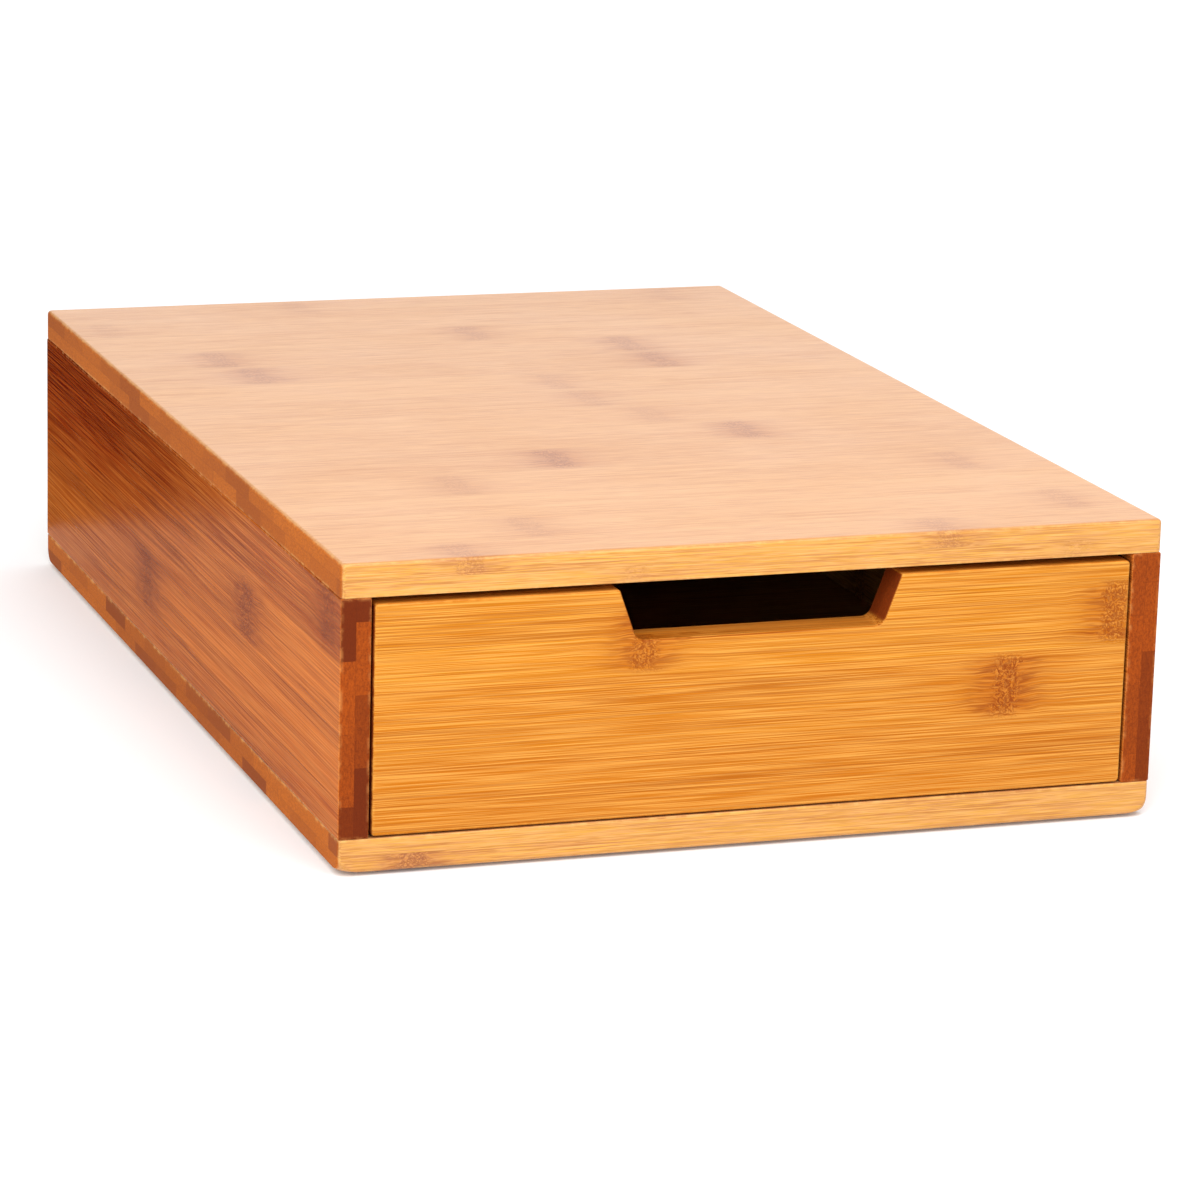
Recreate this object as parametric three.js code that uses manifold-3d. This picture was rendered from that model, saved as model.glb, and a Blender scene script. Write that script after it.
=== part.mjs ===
// Bamboo desk box: a case of five glued boards around one full-width drawer with a cut-out finger pull.
// Millimetres, +Z up, the drawer opens towards -Y. The origin is on the standing surface, under the
// middle of the case.

import * as THREE from 'three';
import { mergeVertices } from 'three/addons/utils/BufferGeometryUtils.js';
import { RoundedBoxGeometry } from 'three/addons/geometries/RoundedBoxGeometry.js';
import Module from 'manifold-3d';

const wasm = await Module();
wasm.setup();

// Case, outside
const WIDTH = 250;
const DEPTH = 375;
const BOARDS_HEIGHT = 90;
const PAD_THICKNESS = 1;

// Case boards
const PANEL_THICKNESS = 10;
const SIDE_THICKNESS = 9;
const BACK_THICKNESS = 8;
const PANEL_CORNER_RADIUS = 3;
const PANEL_EDGE_RADIUS = 2;
const BOARD_EDGE_RADIUS = 0.5;

// Drawer
const FRONT_THICKNESS = 12;
const FRONT_SIDE_GAP = 0.75;
const FRONT_TOP_GAP = 2;
const FRONT_BOTTOM_GAP = 0.5;
const BOX_INSET = 0.5;
const BOX_BOARD = 8;
const BOX_WALL_HEIGHT = 58;
const RUNNING_GAP = 0.25;
const REAR_GAP = 0.5;
const BOTTOM_THICKNESS = 4;
const GROOVE_HEIGHT = 6;
const GROOVE_DEPTH = 4;
const GROOVE_SLACK = 0.25;

// Finger pull, a trapezium cut in the top edge of the drawer front
const NOTCH_DEPTH = 15;
const NOTCH_TOP_HALF = 43;
const NOTCH_BOTTOM_HALF = 37.5;
const NOTCH_FILLET = 3.5;
const CUT_MARGIN = 5;

// Joinery
const HOLE_GAP = 0.15;
const DOWEL_END_GAP = 0.5;
const DOWEL_CHAMFER = 0.5;
const CASE_DOWEL = { radius: 2.5, length: 20, head: 6 };
const BACK_DOWEL = { radius: 2, length: 20, head: 6 };
const FRONT_DOWEL = { radius: 2, length: 22, head: 8 };
const CASE_SCREW = { headRadius: 3, headDepth: 2, shankRadius: 1.5, length: 28, sunk: 0.25 };
const DRAWER_SCREW = { headRadius: 2.75, headDepth: 1.75, shankRadius: 1.4, length: 20, sunk: 0.25 };
const BOTTOM_SCREW = { headRadius: 2.5, headDepth: 1.5, shankRadius: 1.25, length: 14, sunk: 0.25 };
const TIP_LENGTH = 4;
const CASE_DOWEL_ROWS = [-140, 0, 140];
const CASE_SCREW_ROWS = [-150, 0, 150];
const BOTTOM_SCREW_COLUMNS = [-80, 0, 80];
const JOINT_LEVELS = [18, 52];
const PAD_RADIUS = 8;
const PAD_INSET = 18;

// Fineness of the round shapes
const ROUND_SEGMENTS = 16;
const PAD_SEGMENTS = 32;
const EDGE_SEGMENTS = 2;
const CORNER_SEGMENTS = 4;
const MERGE_TOLERANCE = 1e-4;

// Levels and places worked out from the dimensions above
const underside = PAD_THICKNESS;
const floorLevel = underside + PANEL_THICKNESS;
const caseTop = underside + BOARDS_HEIGHT;
const ceilingLevel = caseTop - PANEL_THICKNESS;
const innerHeight = ceilingLevel - floorLevel;
const innerHalf = WIDTH / 2 - SIDE_THICKNESS;
const sideLine = WIDTH / 2 - SIDE_THICKNESS / 2;
const frontY = -DEPTH / 2;
const backY = DEPTH / 2;
const backBoardY = backY - BACK_THICKNESS / 2;

const frontHalf = innerHalf - FRONT_SIDE_GAP;
const frontBottom = floorLevel + FRONT_BOTTOM_GAP;
const frontTop = ceilingLevel - FRONT_TOP_GAP;
const frontRearY = frontY + FRONT_THICKNESS;
const boxRearY = backY - BACK_THICKNESS - REAR_GAP;
const boxLength = boxRearY - frontRearY;
const boxMiddleY = (boxRearY + frontRearY) / 2;
const boxOuterHalf = frontHalf - BOX_INSET;
const boxInnerHalf = boxOuterHalf - BOX_BOARD;
const boxWallLine = boxOuterHalf - BOX_BOARD / 2;
const boxBackY = boxRearY - BOX_BOARD / 2;
const boxBase = floorLevel + RUNNING_GAP;
const boxTop = boxBase + BOX_WALL_HEIGHT;
const bottomLow = boxBase + GROOVE_HEIGHT;
const bottomHigh = bottomLow + BOTTOM_THICKNESS;

const LEFT = -1;
const RIGHT = 1;
const SIDES = [['left', LEFT], ['right', RIGHT]];
const UP = new THREE.Vector3(0, 1, 0);

// Materials

function bamboo() {
  return new THREE.MeshStandardMaterial({ color: 0xdf9a4c, roughness: 0.4, metalness: 0 });
}

function darkBamboo() {
  return new THREE.MeshStandardMaterial({ color: 0xa85a2c, roughness: 0.4, metalness: 0 });
}

function dowelWood() {
  return new THREE.MeshStandardMaterial({ color: 0xd9b98a, roughness: 0.7, metalness: 0 });
}

function zincSteel() {
  return new THREE.MeshStandardMaterial({ color: 0xb8b9ba, roughness: 0.35, metalness: 1 });
}

function padRubber() {
  return new THREE.MeshStandardMaterial({ color: 0x2b2a29, roughness: 0.85, metalness: 0 });
}

// Solids

/** A closed geometry as a solid that can be cut. */
function toSolid(geometry) {
  const bare = geometry.clone();
  bare.deleteAttribute('normal');
  bare.deleteAttribute('uv');
  const merged = mergeVertices(bare, MERGE_TOLERANCE);
  const corners = merged.index.array;
  const kept = [];
  for (let i = 0; i < corners.length; i += 3) {
    const [a, b, c] = [corners[i], corners[i + 1], corners[i + 2]];
    if (a !== b && b !== c && c !== a) {
      kept.push(a, b, c);
    }
  }
  return new wasm.Manifold(new wasm.Mesh({
    numProp: 3,
    vertProperties: new Float32Array(merged.attributes.position.array),
    triVerts: new Uint32Array(kept),
  }));
}

/** A cut solid as a geometry, moved so that the point given is its own origin. */
function toGeometry(solid, centre) {
  const mesh = solid.getMesh();
  const geometry = new THREE.BufferGeometry();
  const positions = new Float32Array(mesh.vertProperties);
  geometry.setAttribute('position', new THREE.BufferAttribute(positions, 3));
  geometry.setIndex(new THREE.BufferAttribute(new Uint32Array(mesh.triVerts), 1));
  geometry.translate(-centre.x, -centre.y, -centre.z);
  geometry.computeVertexNormals();
  return geometry;
}

/** The geometry turned from its own +Y to the direction given, and moved to the place given. */
function placed(geometry, place, direction) {
  const turn = new THREE.Quaternion().setFromUnitVectors(UP, direction);
  return geometry.clone().applyQuaternion(turn).translate(place.x, place.y, place.z);
}

/** A plain box between two corners, for cutting. */
function cutBox(low, high) {
  const size = new THREE.Vector3().subVectors(high, low);
  const middle = new THREE.Vector3().addVectors(low, high).multiplyScalar(0.5);
  return toSolid(new THREE.BoxGeometry(size.x, size.y, size.z).translate(middle.x, middle.y, middle.z));
}

/** A named mesh made from a solid that stands in the object's own place. */
function meshOf(name, solid, centre, material) {
  const mesh = new THREE.Mesh(toGeometry(solid, centre), material);
  mesh.name = name;
  mesh.position.copy(centre);
  return mesh;
}

/** A board with softened arrises, less the cutters given. */
function board(name, size, centre, cutters, material) {
  const blank = new RoundedBoxGeometry(size.x, size.y, size.z, EDGE_SEGMENTS, BOARD_EDGE_RADIUS);
  let solid = toSolid(blank.translate(centre.x, centre.y, centre.z));
  for (const cutter of cutters) {
    solid = solid.subtract(cutter);
  }
  return meshOf(name, solid, centre, material);
}

/** A rectangle with round corners, centred on its own origin. */
function roundedRectangle(width, depth, radius) {
  const [x, y] = [width / 2, depth / 2];
  const shape = new THREE.Shape();
  shape.moveTo(-x + radius, -y);
  shape.lineTo(x - radius, -y);
  shape.absarc(x - radius, -y + radius, radius, -Math.PI / 2, 0, false);
  shape.lineTo(x, y - radius);
  shape.absarc(x - radius, y - radius, radius, 0, Math.PI / 2, false);
  shape.lineTo(-x + radius, y);
  shape.absarc(-x + radius, y - radius, radius, Math.PI / 2, Math.PI, false);
  shape.lineTo(-x, -y + radius);
  shape.absarc(-x + radius, -y + radius, radius, Math.PI, 1.5 * Math.PI, false);
  return shape;
}

/** A full-size panel with round corners and one face's arrises rounded over. */
function panel(name, centre, roundFace, cutters, material) {
  const edge = PANEL_EDGE_RADIUS;
  const outline = roundedRectangle(WIDTH - 2 * edge, DEPTH - 2 * edge, PANEL_CORNER_RADIUS - edge);
  const blank = new THREE.ExtrudeGeometry(outline, {
    depth: PANEL_THICKNESS,
    bevelEnabled: true,
    bevelSize: edge,
    bevelThickness: edge,
    bevelSegments: EDGE_SEGMENTS,
    curveSegments: CORNER_SEGMENTS,
  });
  blank.translate(0, 0, -PANEL_THICKNESS / 2 - edge);
  if (roundFace < 0) {
    blank.rotateX(Math.PI);
  }
  blank.translate(centre.x, centre.y, centre.z);
  const half = new THREE.Vector3(WIDTH, DEPTH, PANEL_THICKNESS / 2);
  const slice = cutBox(centre.clone().sub(half), centre.clone().add(half));
  let solid = toSolid(blank).intersect(slice);
  for (const cutter of cutters) {
    solid = solid.subtract(cutter);
  }
  return meshOf(name, solid, centre, material);
}

// Dowels and screws. Each starts at its own origin and runs along its own +Y.

function dowelGeometry(spec) {
  const profile = [
    new THREE.Vector2(0, 0),
    new THREE.Vector2(spec.radius - DOWEL_CHAMFER, 0),
    new THREE.Vector2(spec.radius, DOWEL_CHAMFER),
    new THREE.Vector2(spec.radius, spec.length - DOWEL_CHAMFER),
    new THREE.Vector2(spec.radius - DOWEL_CHAMFER, spec.length),
    new THREE.Vector2(0, spec.length),
  ];
  return new THREE.LatheGeometry(profile, ROUND_SEGMENTS);
}

function dowelHole(spec, place, direction) {
  const length = spec.length + 2 * DOWEL_END_GAP;
  const radius = spec.radius + HOLE_GAP;
  const hole = new THREE.CylinderGeometry(radius, radius, length, ROUND_SEGMENTS);
  hole.translate(0, spec.length / 2, 0);
  return toSolid(placed(hole, place, direction));
}

function screwGeometry(spec) {
  const profile = [
    new THREE.Vector2(0, 0),
    new THREE.Vector2(spec.headRadius, 0),
    new THREE.Vector2(spec.shankRadius, spec.headDepth),
    new THREE.Vector2(spec.shankRadius, spec.length - TIP_LENGTH),
    new THREE.Vector2(0, spec.length),
  ];
  return new THREE.LatheGeometry(profile, ROUND_SEGMENTS);
}

function screwHole(spec, place, direction) {
  const profile = [
    new THREE.Vector2(0, -CUT_MARGIN),
    new THREE.Vector2(spec.headRadius + HOLE_GAP, -CUT_MARGIN),
    new THREE.Vector2(spec.headRadius + HOLE_GAP, 0),
    new THREE.Vector2(spec.shankRadius + HOLE_GAP, spec.headDepth),
    new THREE.Vector2(spec.shankRadius + HOLE_GAP, spec.length + DOWEL_END_GAP),
    new THREE.Vector2(0, spec.length + DOWEL_END_GAP),
  ];
  return toSolid(placed(new THREE.LatheGeometry(profile, ROUND_SEGMENTS), place, direction));
}

/** One dowel or screw as a mesh, and the hole that it needs. */
function fastener(name, spec, place, direction) {
  const isScrew = spec.headRadius !== undefined;
  const geometry = isScrew ? screwGeometry(spec) : dowelGeometry(spec);
  const mesh = new THREE.Mesh(geometry, isScrew ? zincSteel() : dowelWood());
  mesh.name = name;
  mesh.position.copy(place);
  mesh.quaternion.setFromUnitVectors(UP, direction);
  const hole = isScrew ? screwHole(spec, place, direction) : dowelHole(spec, place, direction);
  return { mesh, hole };
}

const meshes = (fasteners) => fasteners.map((each) => each.mesh);
const holes = (fasteners) => fasteners.map((each) => each.hole);
const along = (x, y, z) => new THREE.Vector3(x, y, z);

/** Dowels that stand in a side panel's top edge and reach into the top panel. */
function topDowels(side, sign) {
  const z = ceilingLevel + CASE_DOWEL.head;
  return CASE_DOWEL_ROWS.map((y, i) => (
    fastener(`${side}_top_dowel_${i + 1}`, CASE_DOWEL, along(sign * sideLine, y, z), along(0, 0, -1))
  ));
}

/** Countersunk screws that come up through the bottom panel into a side panel. */
function bottomScrews(side, sign) {
  const z = underside + CASE_SCREW.sunk;
  return CASE_SCREW_ROWS.map((y, i) => (
    fastener(`${side}_case_screw_${i + 1}`, CASE_SCREW, along(sign * sideLine, y, z), along(0, 0, 1))
  ));
}

/** Dowels between a side panel and the end of the back panel. */
function backDowels(side, sign) {
  const x = sign * (innerHalf + BACK_DOWEL.head);
  const inward = along(-sign, 0, 0);
  return JOINT_LEVELS.map((level, i) => (
    fastener(`${side}_back_dowel_${i + 1}`, BACK_DOWEL, along(x, backBoardY, floorLevel + level), inward)
  ));
}

/** Dowels between the drawer front and the end of a drawer side. */
function frontDowels(side, sign) {
  const x = sign * boxWallLine;
  const y = frontRearY - FRONT_DOWEL.head;
  return JOINT_LEVELS.map((level, i) => (
    fastener(`drawer_${side}_dowel_${i + 1}`, FRONT_DOWEL, along(x, y, boxBase + level), along(0, 1, 0))
  ));
}

/** Countersunk screws through a drawer side into the end of the drawer back. */
function drawerScrews(side, sign) {
  const x = sign * (boxOuterHalf - DRAWER_SCREW.sunk);
  const inward = along(-sign, 0, 0);
  return JOINT_LEVELS.map((level, i) => (
    fastener(`drawer_${side}_screw_${i + 1}`, DRAWER_SCREW, along(x, boxBackY, boxBase + level), inward)
  ));
}

/** Countersunk screws up through the drawer bottom into the lower edge of the drawer back. */
function drawerBottomScrews() {
  const z = bottomLow + BOTTOM_SCREW.sunk;
  return BOTTOM_SCREW_COLUMNS.map((x, i) => (
    fastener(`drawer_bottom_screw_${i + 1}`, BOTTOM_SCREW, along(x, boxBackY, z), along(0, 0, 1))
  ));
}

// Case

function sidePanel(side, sign, cutters) {
  const size = along(SIDE_THICKNESS, DEPTH, innerHeight);
  const centre = along(sign * sideLine, 0, (floorLevel + ceilingLevel) / 2);
  return board(`${side}_side_panel`, size, centre, cutters, darkBamboo());
}

function backPanel(cutters) {
  const size = along(2 * innerHalf, BACK_THICKNESS, innerHeight);
  const centre = along(0, backBoardY, (floorLevel + ceilingLevel) / 2);
  return board('back_panel', size, centre, cutters, bamboo());
}

function footPads() {
  const pads = [];
  for (const [side, sign] of SIDES) {
    for (const [end, way] of [['front', -1], ['rear', 1]]) {
      const disc = new THREE.CylinderGeometry(PAD_RADIUS, PAD_RADIUS, PAD_THICKNESS, PAD_SEGMENTS);
      const mesh = new THREE.Mesh(disc, padRubber());
      mesh.name = `foot_pad_${end}_${side}`;
      mesh.position.set(sign * (WIDTH / 2 - PAD_INSET), way * (DEPTH / 2 - PAD_INSET), PAD_THICKNESS / 2);
      mesh.rotation.x = Math.PI / 2;
      pads.push(mesh);
    }
  }
  return pads;
}

function buildCase() {
  const top = [];
  const base = [];
  const rear = [];
  const group = new THREE.Group();
  for (const [side, sign] of SIDES) {
    const dowels = topDowels(side, sign);
    const screws = bottomScrews(side, sign);
    const pins = backDowels(side, sign);
    const all = [...dowels, ...screws, ...pins];
    group.add(sidePanel(side, sign, holes(all)), ...meshes(all));
    top.push(...holes(dowels));
    base.push(...holes(screws));
    rear.push(...holes(pins));
  }
  group.add(panel('top_panel', along(0, 0, caseTop - PANEL_THICKNESS / 2), 1, top, bamboo()));
  group.add(panel('bottom_panel', along(0, 0, underside + PANEL_THICKNESS / 2), -1, base, bamboo()));
  group.add(backPanel(rear), ...footPads());
  return group;
}

// Drawer

/** The finger pull's outline, drawn in X and Z, with its two lower corners rounded. */
function notchOutline() {
  const floor = frontTop - NOTCH_DEPTH;
  const slope = Math.atan2(NOTCH_DEPTH, NOTCH_TOP_HALF - NOTCH_BOTTOM_HALF);
  const reach = NOTCH_FILLET * Math.tan(slope / 2);
  const arcX = NOTCH_BOTTOM_HALF - reach;
  const topHalf = NOTCH_BOTTOM_HALF + (NOTCH_DEPTH + CUT_MARGIN) / Math.tan(slope);
  const shape = new THREE.Shape();
  shape.moveTo(topHalf, frontTop + CUT_MARGIN);
  shape.lineTo(-topHalf, frontTop + CUT_MARGIN);
  shape.absarc(-arcX, floor + NOTCH_FILLET, NOTCH_FILLET, 1.5 * Math.PI - slope, 1.5 * Math.PI, false);
  shape.absarc(arcX, floor + NOTCH_FILLET, NOTCH_FILLET, -Math.PI / 2, slope - Math.PI / 2, false);
  return shape;
}

function notchCutter() {
  const prism = new THREE.ExtrudeGeometry(notchOutline(), {
    depth: FRONT_THICKNESS + 2 * CUT_MARGIN,
    bevelEnabled: false,
    curveSegments: CORNER_SEGMENTS,
  });
  prism.rotateX(Math.PI / 2);
  return toSolid(prism.translate(0, frontRearY + CUT_MARGIN, 0));
}

/** The slot that the drawer bottom slides into, cut round the inside of the front and both sides. */
function bottomGroove() {
  const half = boxInnerHalf + GROOVE_DEPTH;
  const low = along(-half, frontRearY - GROOVE_DEPTH, bottomLow);
  const high = along(half, boxRearY + CUT_MARGIN, bottomHigh + GROOVE_SLACK);
  return cutBox(low, high);
}

function drawerFront(cutters) {
  const size = along(2 * frontHalf, FRONT_THICKNESS, frontTop - frontBottom);
  const centre = along(0, (frontY + frontRearY) / 2, (frontTop + frontBottom) / 2);
  return board('drawer_front', size, centre, [notchCutter(), bottomGroove(), ...cutters], bamboo());
}

function drawerSide(side, sign, cutters) {
  const size = along(BOX_BOARD, boxLength, BOX_WALL_HEIGHT);
  const centre = along(sign * boxWallLine, boxMiddleY, (boxBase + boxTop) / 2);
  return board(`drawer_${side}_side`, size, centre, [bottomGroove(), ...cutters], bamboo());
}

function drawerBack(cutters) {
  const size = along(2 * boxInnerHalf, BOX_BOARD, boxTop - bottomHigh);
  const centre = along(0, boxBackY, (boxTop + bottomHigh) / 2);
  return board('drawer_back', size, centre, cutters, bamboo());
}

function drawerBottom(cutters) {
  const width = 2 * (boxInnerHalf + GROOVE_DEPTH - GROOVE_SLACK);
  const start = frontRearY - GROOVE_DEPTH + GROOVE_SLACK;
  const size = along(width, boxRearY - start, BOTTOM_THICKNESS);
  const centre = along(0, (boxRearY + start) / 2, (bottomLow + bottomHigh) / 2);
  return board('drawer_bottom', size, centre, cutters, bamboo());
}

function buildDrawer() {
  const frontHoles = [];
  const backHoles = [];
  const underScrews = drawerBottomScrews();
  const group = new THREE.Group();
  for (const [side, sign] of SIDES) {
    const dowels = frontDowels(side, sign);
    const screws = drawerScrews(side, sign);
    const all = [...dowels, ...screws];
    group.add(drawerSide(side, sign, holes(all)), ...meshes(all));
    frontHoles.push(...holes(dowels));
    backHoles.push(...holes(screws));
  }
  group.add(drawerFront(frontHoles));
  group.add(drawerBack([...backHoles, ...holes(underScrews)]));
  group.add(drawerBottom(holes(underScrews)), ...meshes(underScrews));
  return group;
}

const deskBox = new THREE.Group();
deskBox.add(buildCase(), buildDrawer());

export default deskBox;
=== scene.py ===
"""Bamboo desk box with one full-width drawer: glued bamboo laths under a satin lacquer.

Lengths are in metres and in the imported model's frame: +Z up, and the drawer opens towards -Y. The
grain is described in millimetres, because laths, fibres and knots are.
"""

import logging
import math
import random
from dataclasses import dataclass, field
from enum import Enum

import bmesh
import bpy
from mathutils import Matrix, Vector


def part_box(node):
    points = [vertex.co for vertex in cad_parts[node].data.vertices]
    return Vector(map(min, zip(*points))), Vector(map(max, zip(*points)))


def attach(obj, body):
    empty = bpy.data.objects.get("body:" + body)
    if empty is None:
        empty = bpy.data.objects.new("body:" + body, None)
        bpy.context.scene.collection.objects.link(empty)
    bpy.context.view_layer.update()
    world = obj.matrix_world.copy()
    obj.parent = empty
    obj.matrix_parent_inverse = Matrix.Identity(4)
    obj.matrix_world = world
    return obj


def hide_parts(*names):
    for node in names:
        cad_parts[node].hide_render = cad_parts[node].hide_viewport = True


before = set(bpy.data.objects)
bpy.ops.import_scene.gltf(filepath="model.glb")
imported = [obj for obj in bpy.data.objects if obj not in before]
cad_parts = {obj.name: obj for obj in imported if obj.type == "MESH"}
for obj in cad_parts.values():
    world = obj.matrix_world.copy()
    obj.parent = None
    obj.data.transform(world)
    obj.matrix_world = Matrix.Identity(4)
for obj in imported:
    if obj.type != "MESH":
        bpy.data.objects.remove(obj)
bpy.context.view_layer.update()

MM = 0.001
RELIEF_DEPTH = 0.05 * MM
# Edges are shaded as sharp from these angles on, in degrees.
SHARP_FROM = 32.0
TURNED_SHARP_FROM = 50.0
Colour = tuple[float, float, float, float]
Place = tuple[float, float, float]
Socket = bpy.types.NodeSocket
Feed = Socket | float | Colour | Place
WHITE: Colour = (1.0, 1.0, 1.0, 1.0)
log = logging.getLogger("desk_box")


def paint(red: int, green: int, blue: int) -> Colour:
    """A colour chosen on a screen, 0 to 255 a channel, as the linear colour that a shader takes."""
    linear = []
    for channel in (red, green, blue):
        share = channel / 255
        linear.append(share / 12.92 if share <= 0.04045 else ((share + 0.055) / 1.055) ** 2.4)
    return (linear[0], linear[1], linear[2], 1.0)


# Shader graphs


class Graph:
    """Adds nodes to one tree and wires them, so that an effect reads as a formula."""

    def __init__(self, tree: bpy.types.NodeTree) -> None:
        """Works on the tree given."""
        self.tree = tree

    def node(self, kind: str, **settings: object) -> bpy.types.Node:
        """A new node of that kind, with its settings."""
        made = self.tree.nodes.new(kind)
        for name, value in settings.items():
            setattr(made, name, value)
        return made

    def feed(self, socket: Socket, value: Feed) -> None:
        """Links a socket to the input, or sets the number or colour on it."""
        if isinstance(value, bpy.types.NodeSocket):
            self.tree.links.new(value, socket)
        else:
            socket.default_value = value

    def math(self, operation: str, first: Feed, second: Feed = 0.0, clamp: bool = False) -> Socket:
        """One Math node."""
        made = self.node("ShaderNodeMath", operation=operation, use_clamp=clamp)
        self.feed(made.inputs[0], first)
        self.feed(made.inputs[1], second)
        return made.outputs[0]

    def total(self, *terms: Feed) -> Socket:
        """The sum of all the terms."""
        result = terms[0]
        for term in terms[1:]:
            result = self.math("ADD", result, term)
        return result

    def times(self, *factors: Feed) -> Socket:
        """The product of all the factors."""
        result = factors[0]
        for factor in factors[1:]:
            result = self.math("MULTIPLY", result, factor)
        return result

    def rest(self, share: Feed) -> Socket:
        """What a share leaves of 1."""
        return self.math("SUBTRACT", 1.0, share)

    def centred(self, value: Feed) -> Socket:
        """A value from 0 to 1, moved to lie from -0.5 to 0.5."""
        return self.math("SUBTRACT", value, 0.5)

    def gap(self, first: Feed, second: Feed) -> Socket:
        """How far apart two numbers are."""
        return self.math("ABSOLUTE", self.math("SUBTRACT", first, second))

    def rise(self, value: Feed, low: float, high: float) -> Socket:
        """0 below low, 1 above high, and a smooth step between; it falls if high is the lower."""
        made = self.node("ShaderNodeMapRange", interpolation_type="SMOOTHSTEP", clamp=True)
        self.feed(made.inputs["Value"], value)
        made.inputs["From Min"].default_value = min(low, high)
        made.inputs["From Max"].default_value = max(low, high)
        made.inputs["To Min"].default_value = 0.0 if low < high else 1.0
        made.inputs["To Max"].default_value = 1.0 if low < high else 0.0
        return made.outputs["Result"]

    def point(self, x: Feed, y: Feed, z: Feed = 0.0) -> Socket:
        """A vector from three numbers."""
        made = self.node("ShaderNodeCombineXYZ")
        for socket, value in zip(made.inputs, (x, y, z)):
            self.feed(socket, value)
        return made.outputs[0]

    def split(self, vector: Socket) -> tuple[Socket, Socket, Socket]:
        """A vector's three numbers."""
        made = self.node("ShaderNodeSeparateXYZ")
        self.feed(made.inputs[0], vector)
        return made.outputs[0], made.outputs[1], made.outputs[2]

    def noise(self, place: Socket, detail: float = 2.0, roughness: float = 0.5) -> Socket:
        """Smooth noise from 0 to 1 with about one feature to each unit of place."""
        made = self.node("ShaderNodeTexNoise", noise_dimensions="3D")
        self.feed(made.inputs["Vector"], place)
        made.inputs["Scale"].default_value = 1.0
        made.inputs["Detail"].default_value = detail
        made.inputs["Roughness"].default_value = roughness
        return made.outputs[0]

    def cloud(self, place: tuple[Socket, Socket, Socket], per_mm: float, detail: float) -> Socket:
        """Noise that is the same in all directions, from three numbers in millimetres."""
        return self.noise(self.point(*(self.times(axis, per_mm) for axis in place)), detail)

    def own_place(self, per_mm: float = 1.0) -> Socket:
        """The place in the piece's own coordinates, with this many units to a millimetre."""
        made = self.node("ShaderNodeVectorMath", operation="SCALE")
        self.feed(made.inputs[0], self.node("ShaderNodeTexCoord").outputs["Object"])
        made.inputs["Scale"].default_value = per_mm / MM
        return made.outputs[0]

    def bump(self, height: Socket, strength: float) -> Socket:
        """The normal of a fine relief."""
        made = self.node("ShaderNodeBump")
        made.inputs["Strength"].default_value = strength
        made.inputs["Distance"].default_value = RELIEF_DEPTH
        self.feed(made.inputs["Height"], height)
        return made.outputs["Normal"]

    def blend(self, share: Feed, first: Feed, second: Feed, mode: str = "MIX") -> Socket:
        """Two colours, mixed or multiplied by the share given."""
        made = self.node("ShaderNodeMix", data_type="RGBA", blend_type=mode, clamp_factor=True)
        self.feed(made.inputs[0], share)
        self.feed(made.inputs[6], first)
        self.feed(made.inputs[7], second)
        return made.outputs[2]


def open_material(piece: bpy.types.Object, label: str) -> tuple[Graph, bpy.types.Node]:
    """Gives a piece a new material in place of any that it has.

    Args:
        piece: the piece.
        label: what the material is called after the piece's name.

    Returns:
        The material's graph and its shader.
    """
    material = bpy.data.materials.new(f"{piece.name}_{label}")
    material.use_nodes = True
    piece.data.materials.clear()
    piece.data.materials.append(material)
    return Graph(material.node_tree), material.node_tree.nodes["Principled BSDF"]


@dataclass
class Effect:
    """A shader node group with named inputs and outputs, placed in as many materials as need it."""

    tree: bpy.types.NodeTree

    def place(self, graph: Graph, **values: Feed) -> bpy.types.NodeOutputs:
        """Puts the group in a graph.

        Args:
            graph: the graph of the material.
            values: what feeds each input, by its name in lower case with _ for a space.

        Returns:
            The outputs, which are read by name.
        """
        made = graph.node("ShaderNodeGroup", node_tree=self.tree)
        for socket in made.inputs:
            key = socket.name.lower().replace(" ", "_")
            if key in values:
                graph.feed(socket, values[key])
        return made.outputs


def open_group(
    name: str, inputs: dict[str, float], outputs: tuple[str, ...]
) -> tuple[Graph, dict[str, Socket], dict[str, Socket]]:
    """Starts a shader node group.

    Args:
        name: the group's name.
        inputs: the name and the usual value of each number that it takes.
        outputs: the names of the numbers that it gives.

    Returns:
        Its graph, its inputs by name inside the group, and the sockets that its outputs are fed to.
    """
    tree = bpy.data.node_groups.new(name, "ShaderNodeTree")
    for label, value in inputs.items():
        socket = tree.interface.new_socket(name=label, in_out="INPUT", socket_type="NodeSocketFloat")
        socket.default_value = value
    for label in outputs:
        tree.interface.new_socket(name=label, in_out="OUTPUT", socket_type="NodeSocketFloat")
    graph = Graph(tree)
    start = graph.node("NodeGroupInput")
    end = graph.node("NodeGroupOutput")
    taken = {label: start.outputs[label] for label in inputs}
    given = {label: end.inputs[label] for label in outputs}
    return graph, taken, given


# The plies are staggered by this share of a lath, and every lath's noise is moved by its own key.
PLY_STAGGER = 0.47
PLY_KEY = 17.3
LATH_KEY = 3.7

# Where each mark has faded out and where it is at its strongest, in millimetres from its middle.
GLUE_REACH = (0.22, 0.03)
KNOT_CORE = (5.2, 2.6)
KNOT_BAND = (13.0, 2.0)
KNOT_COMB = (17.0, 4.0)
KNOT_HALO = (30.0, 3.0)


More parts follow.
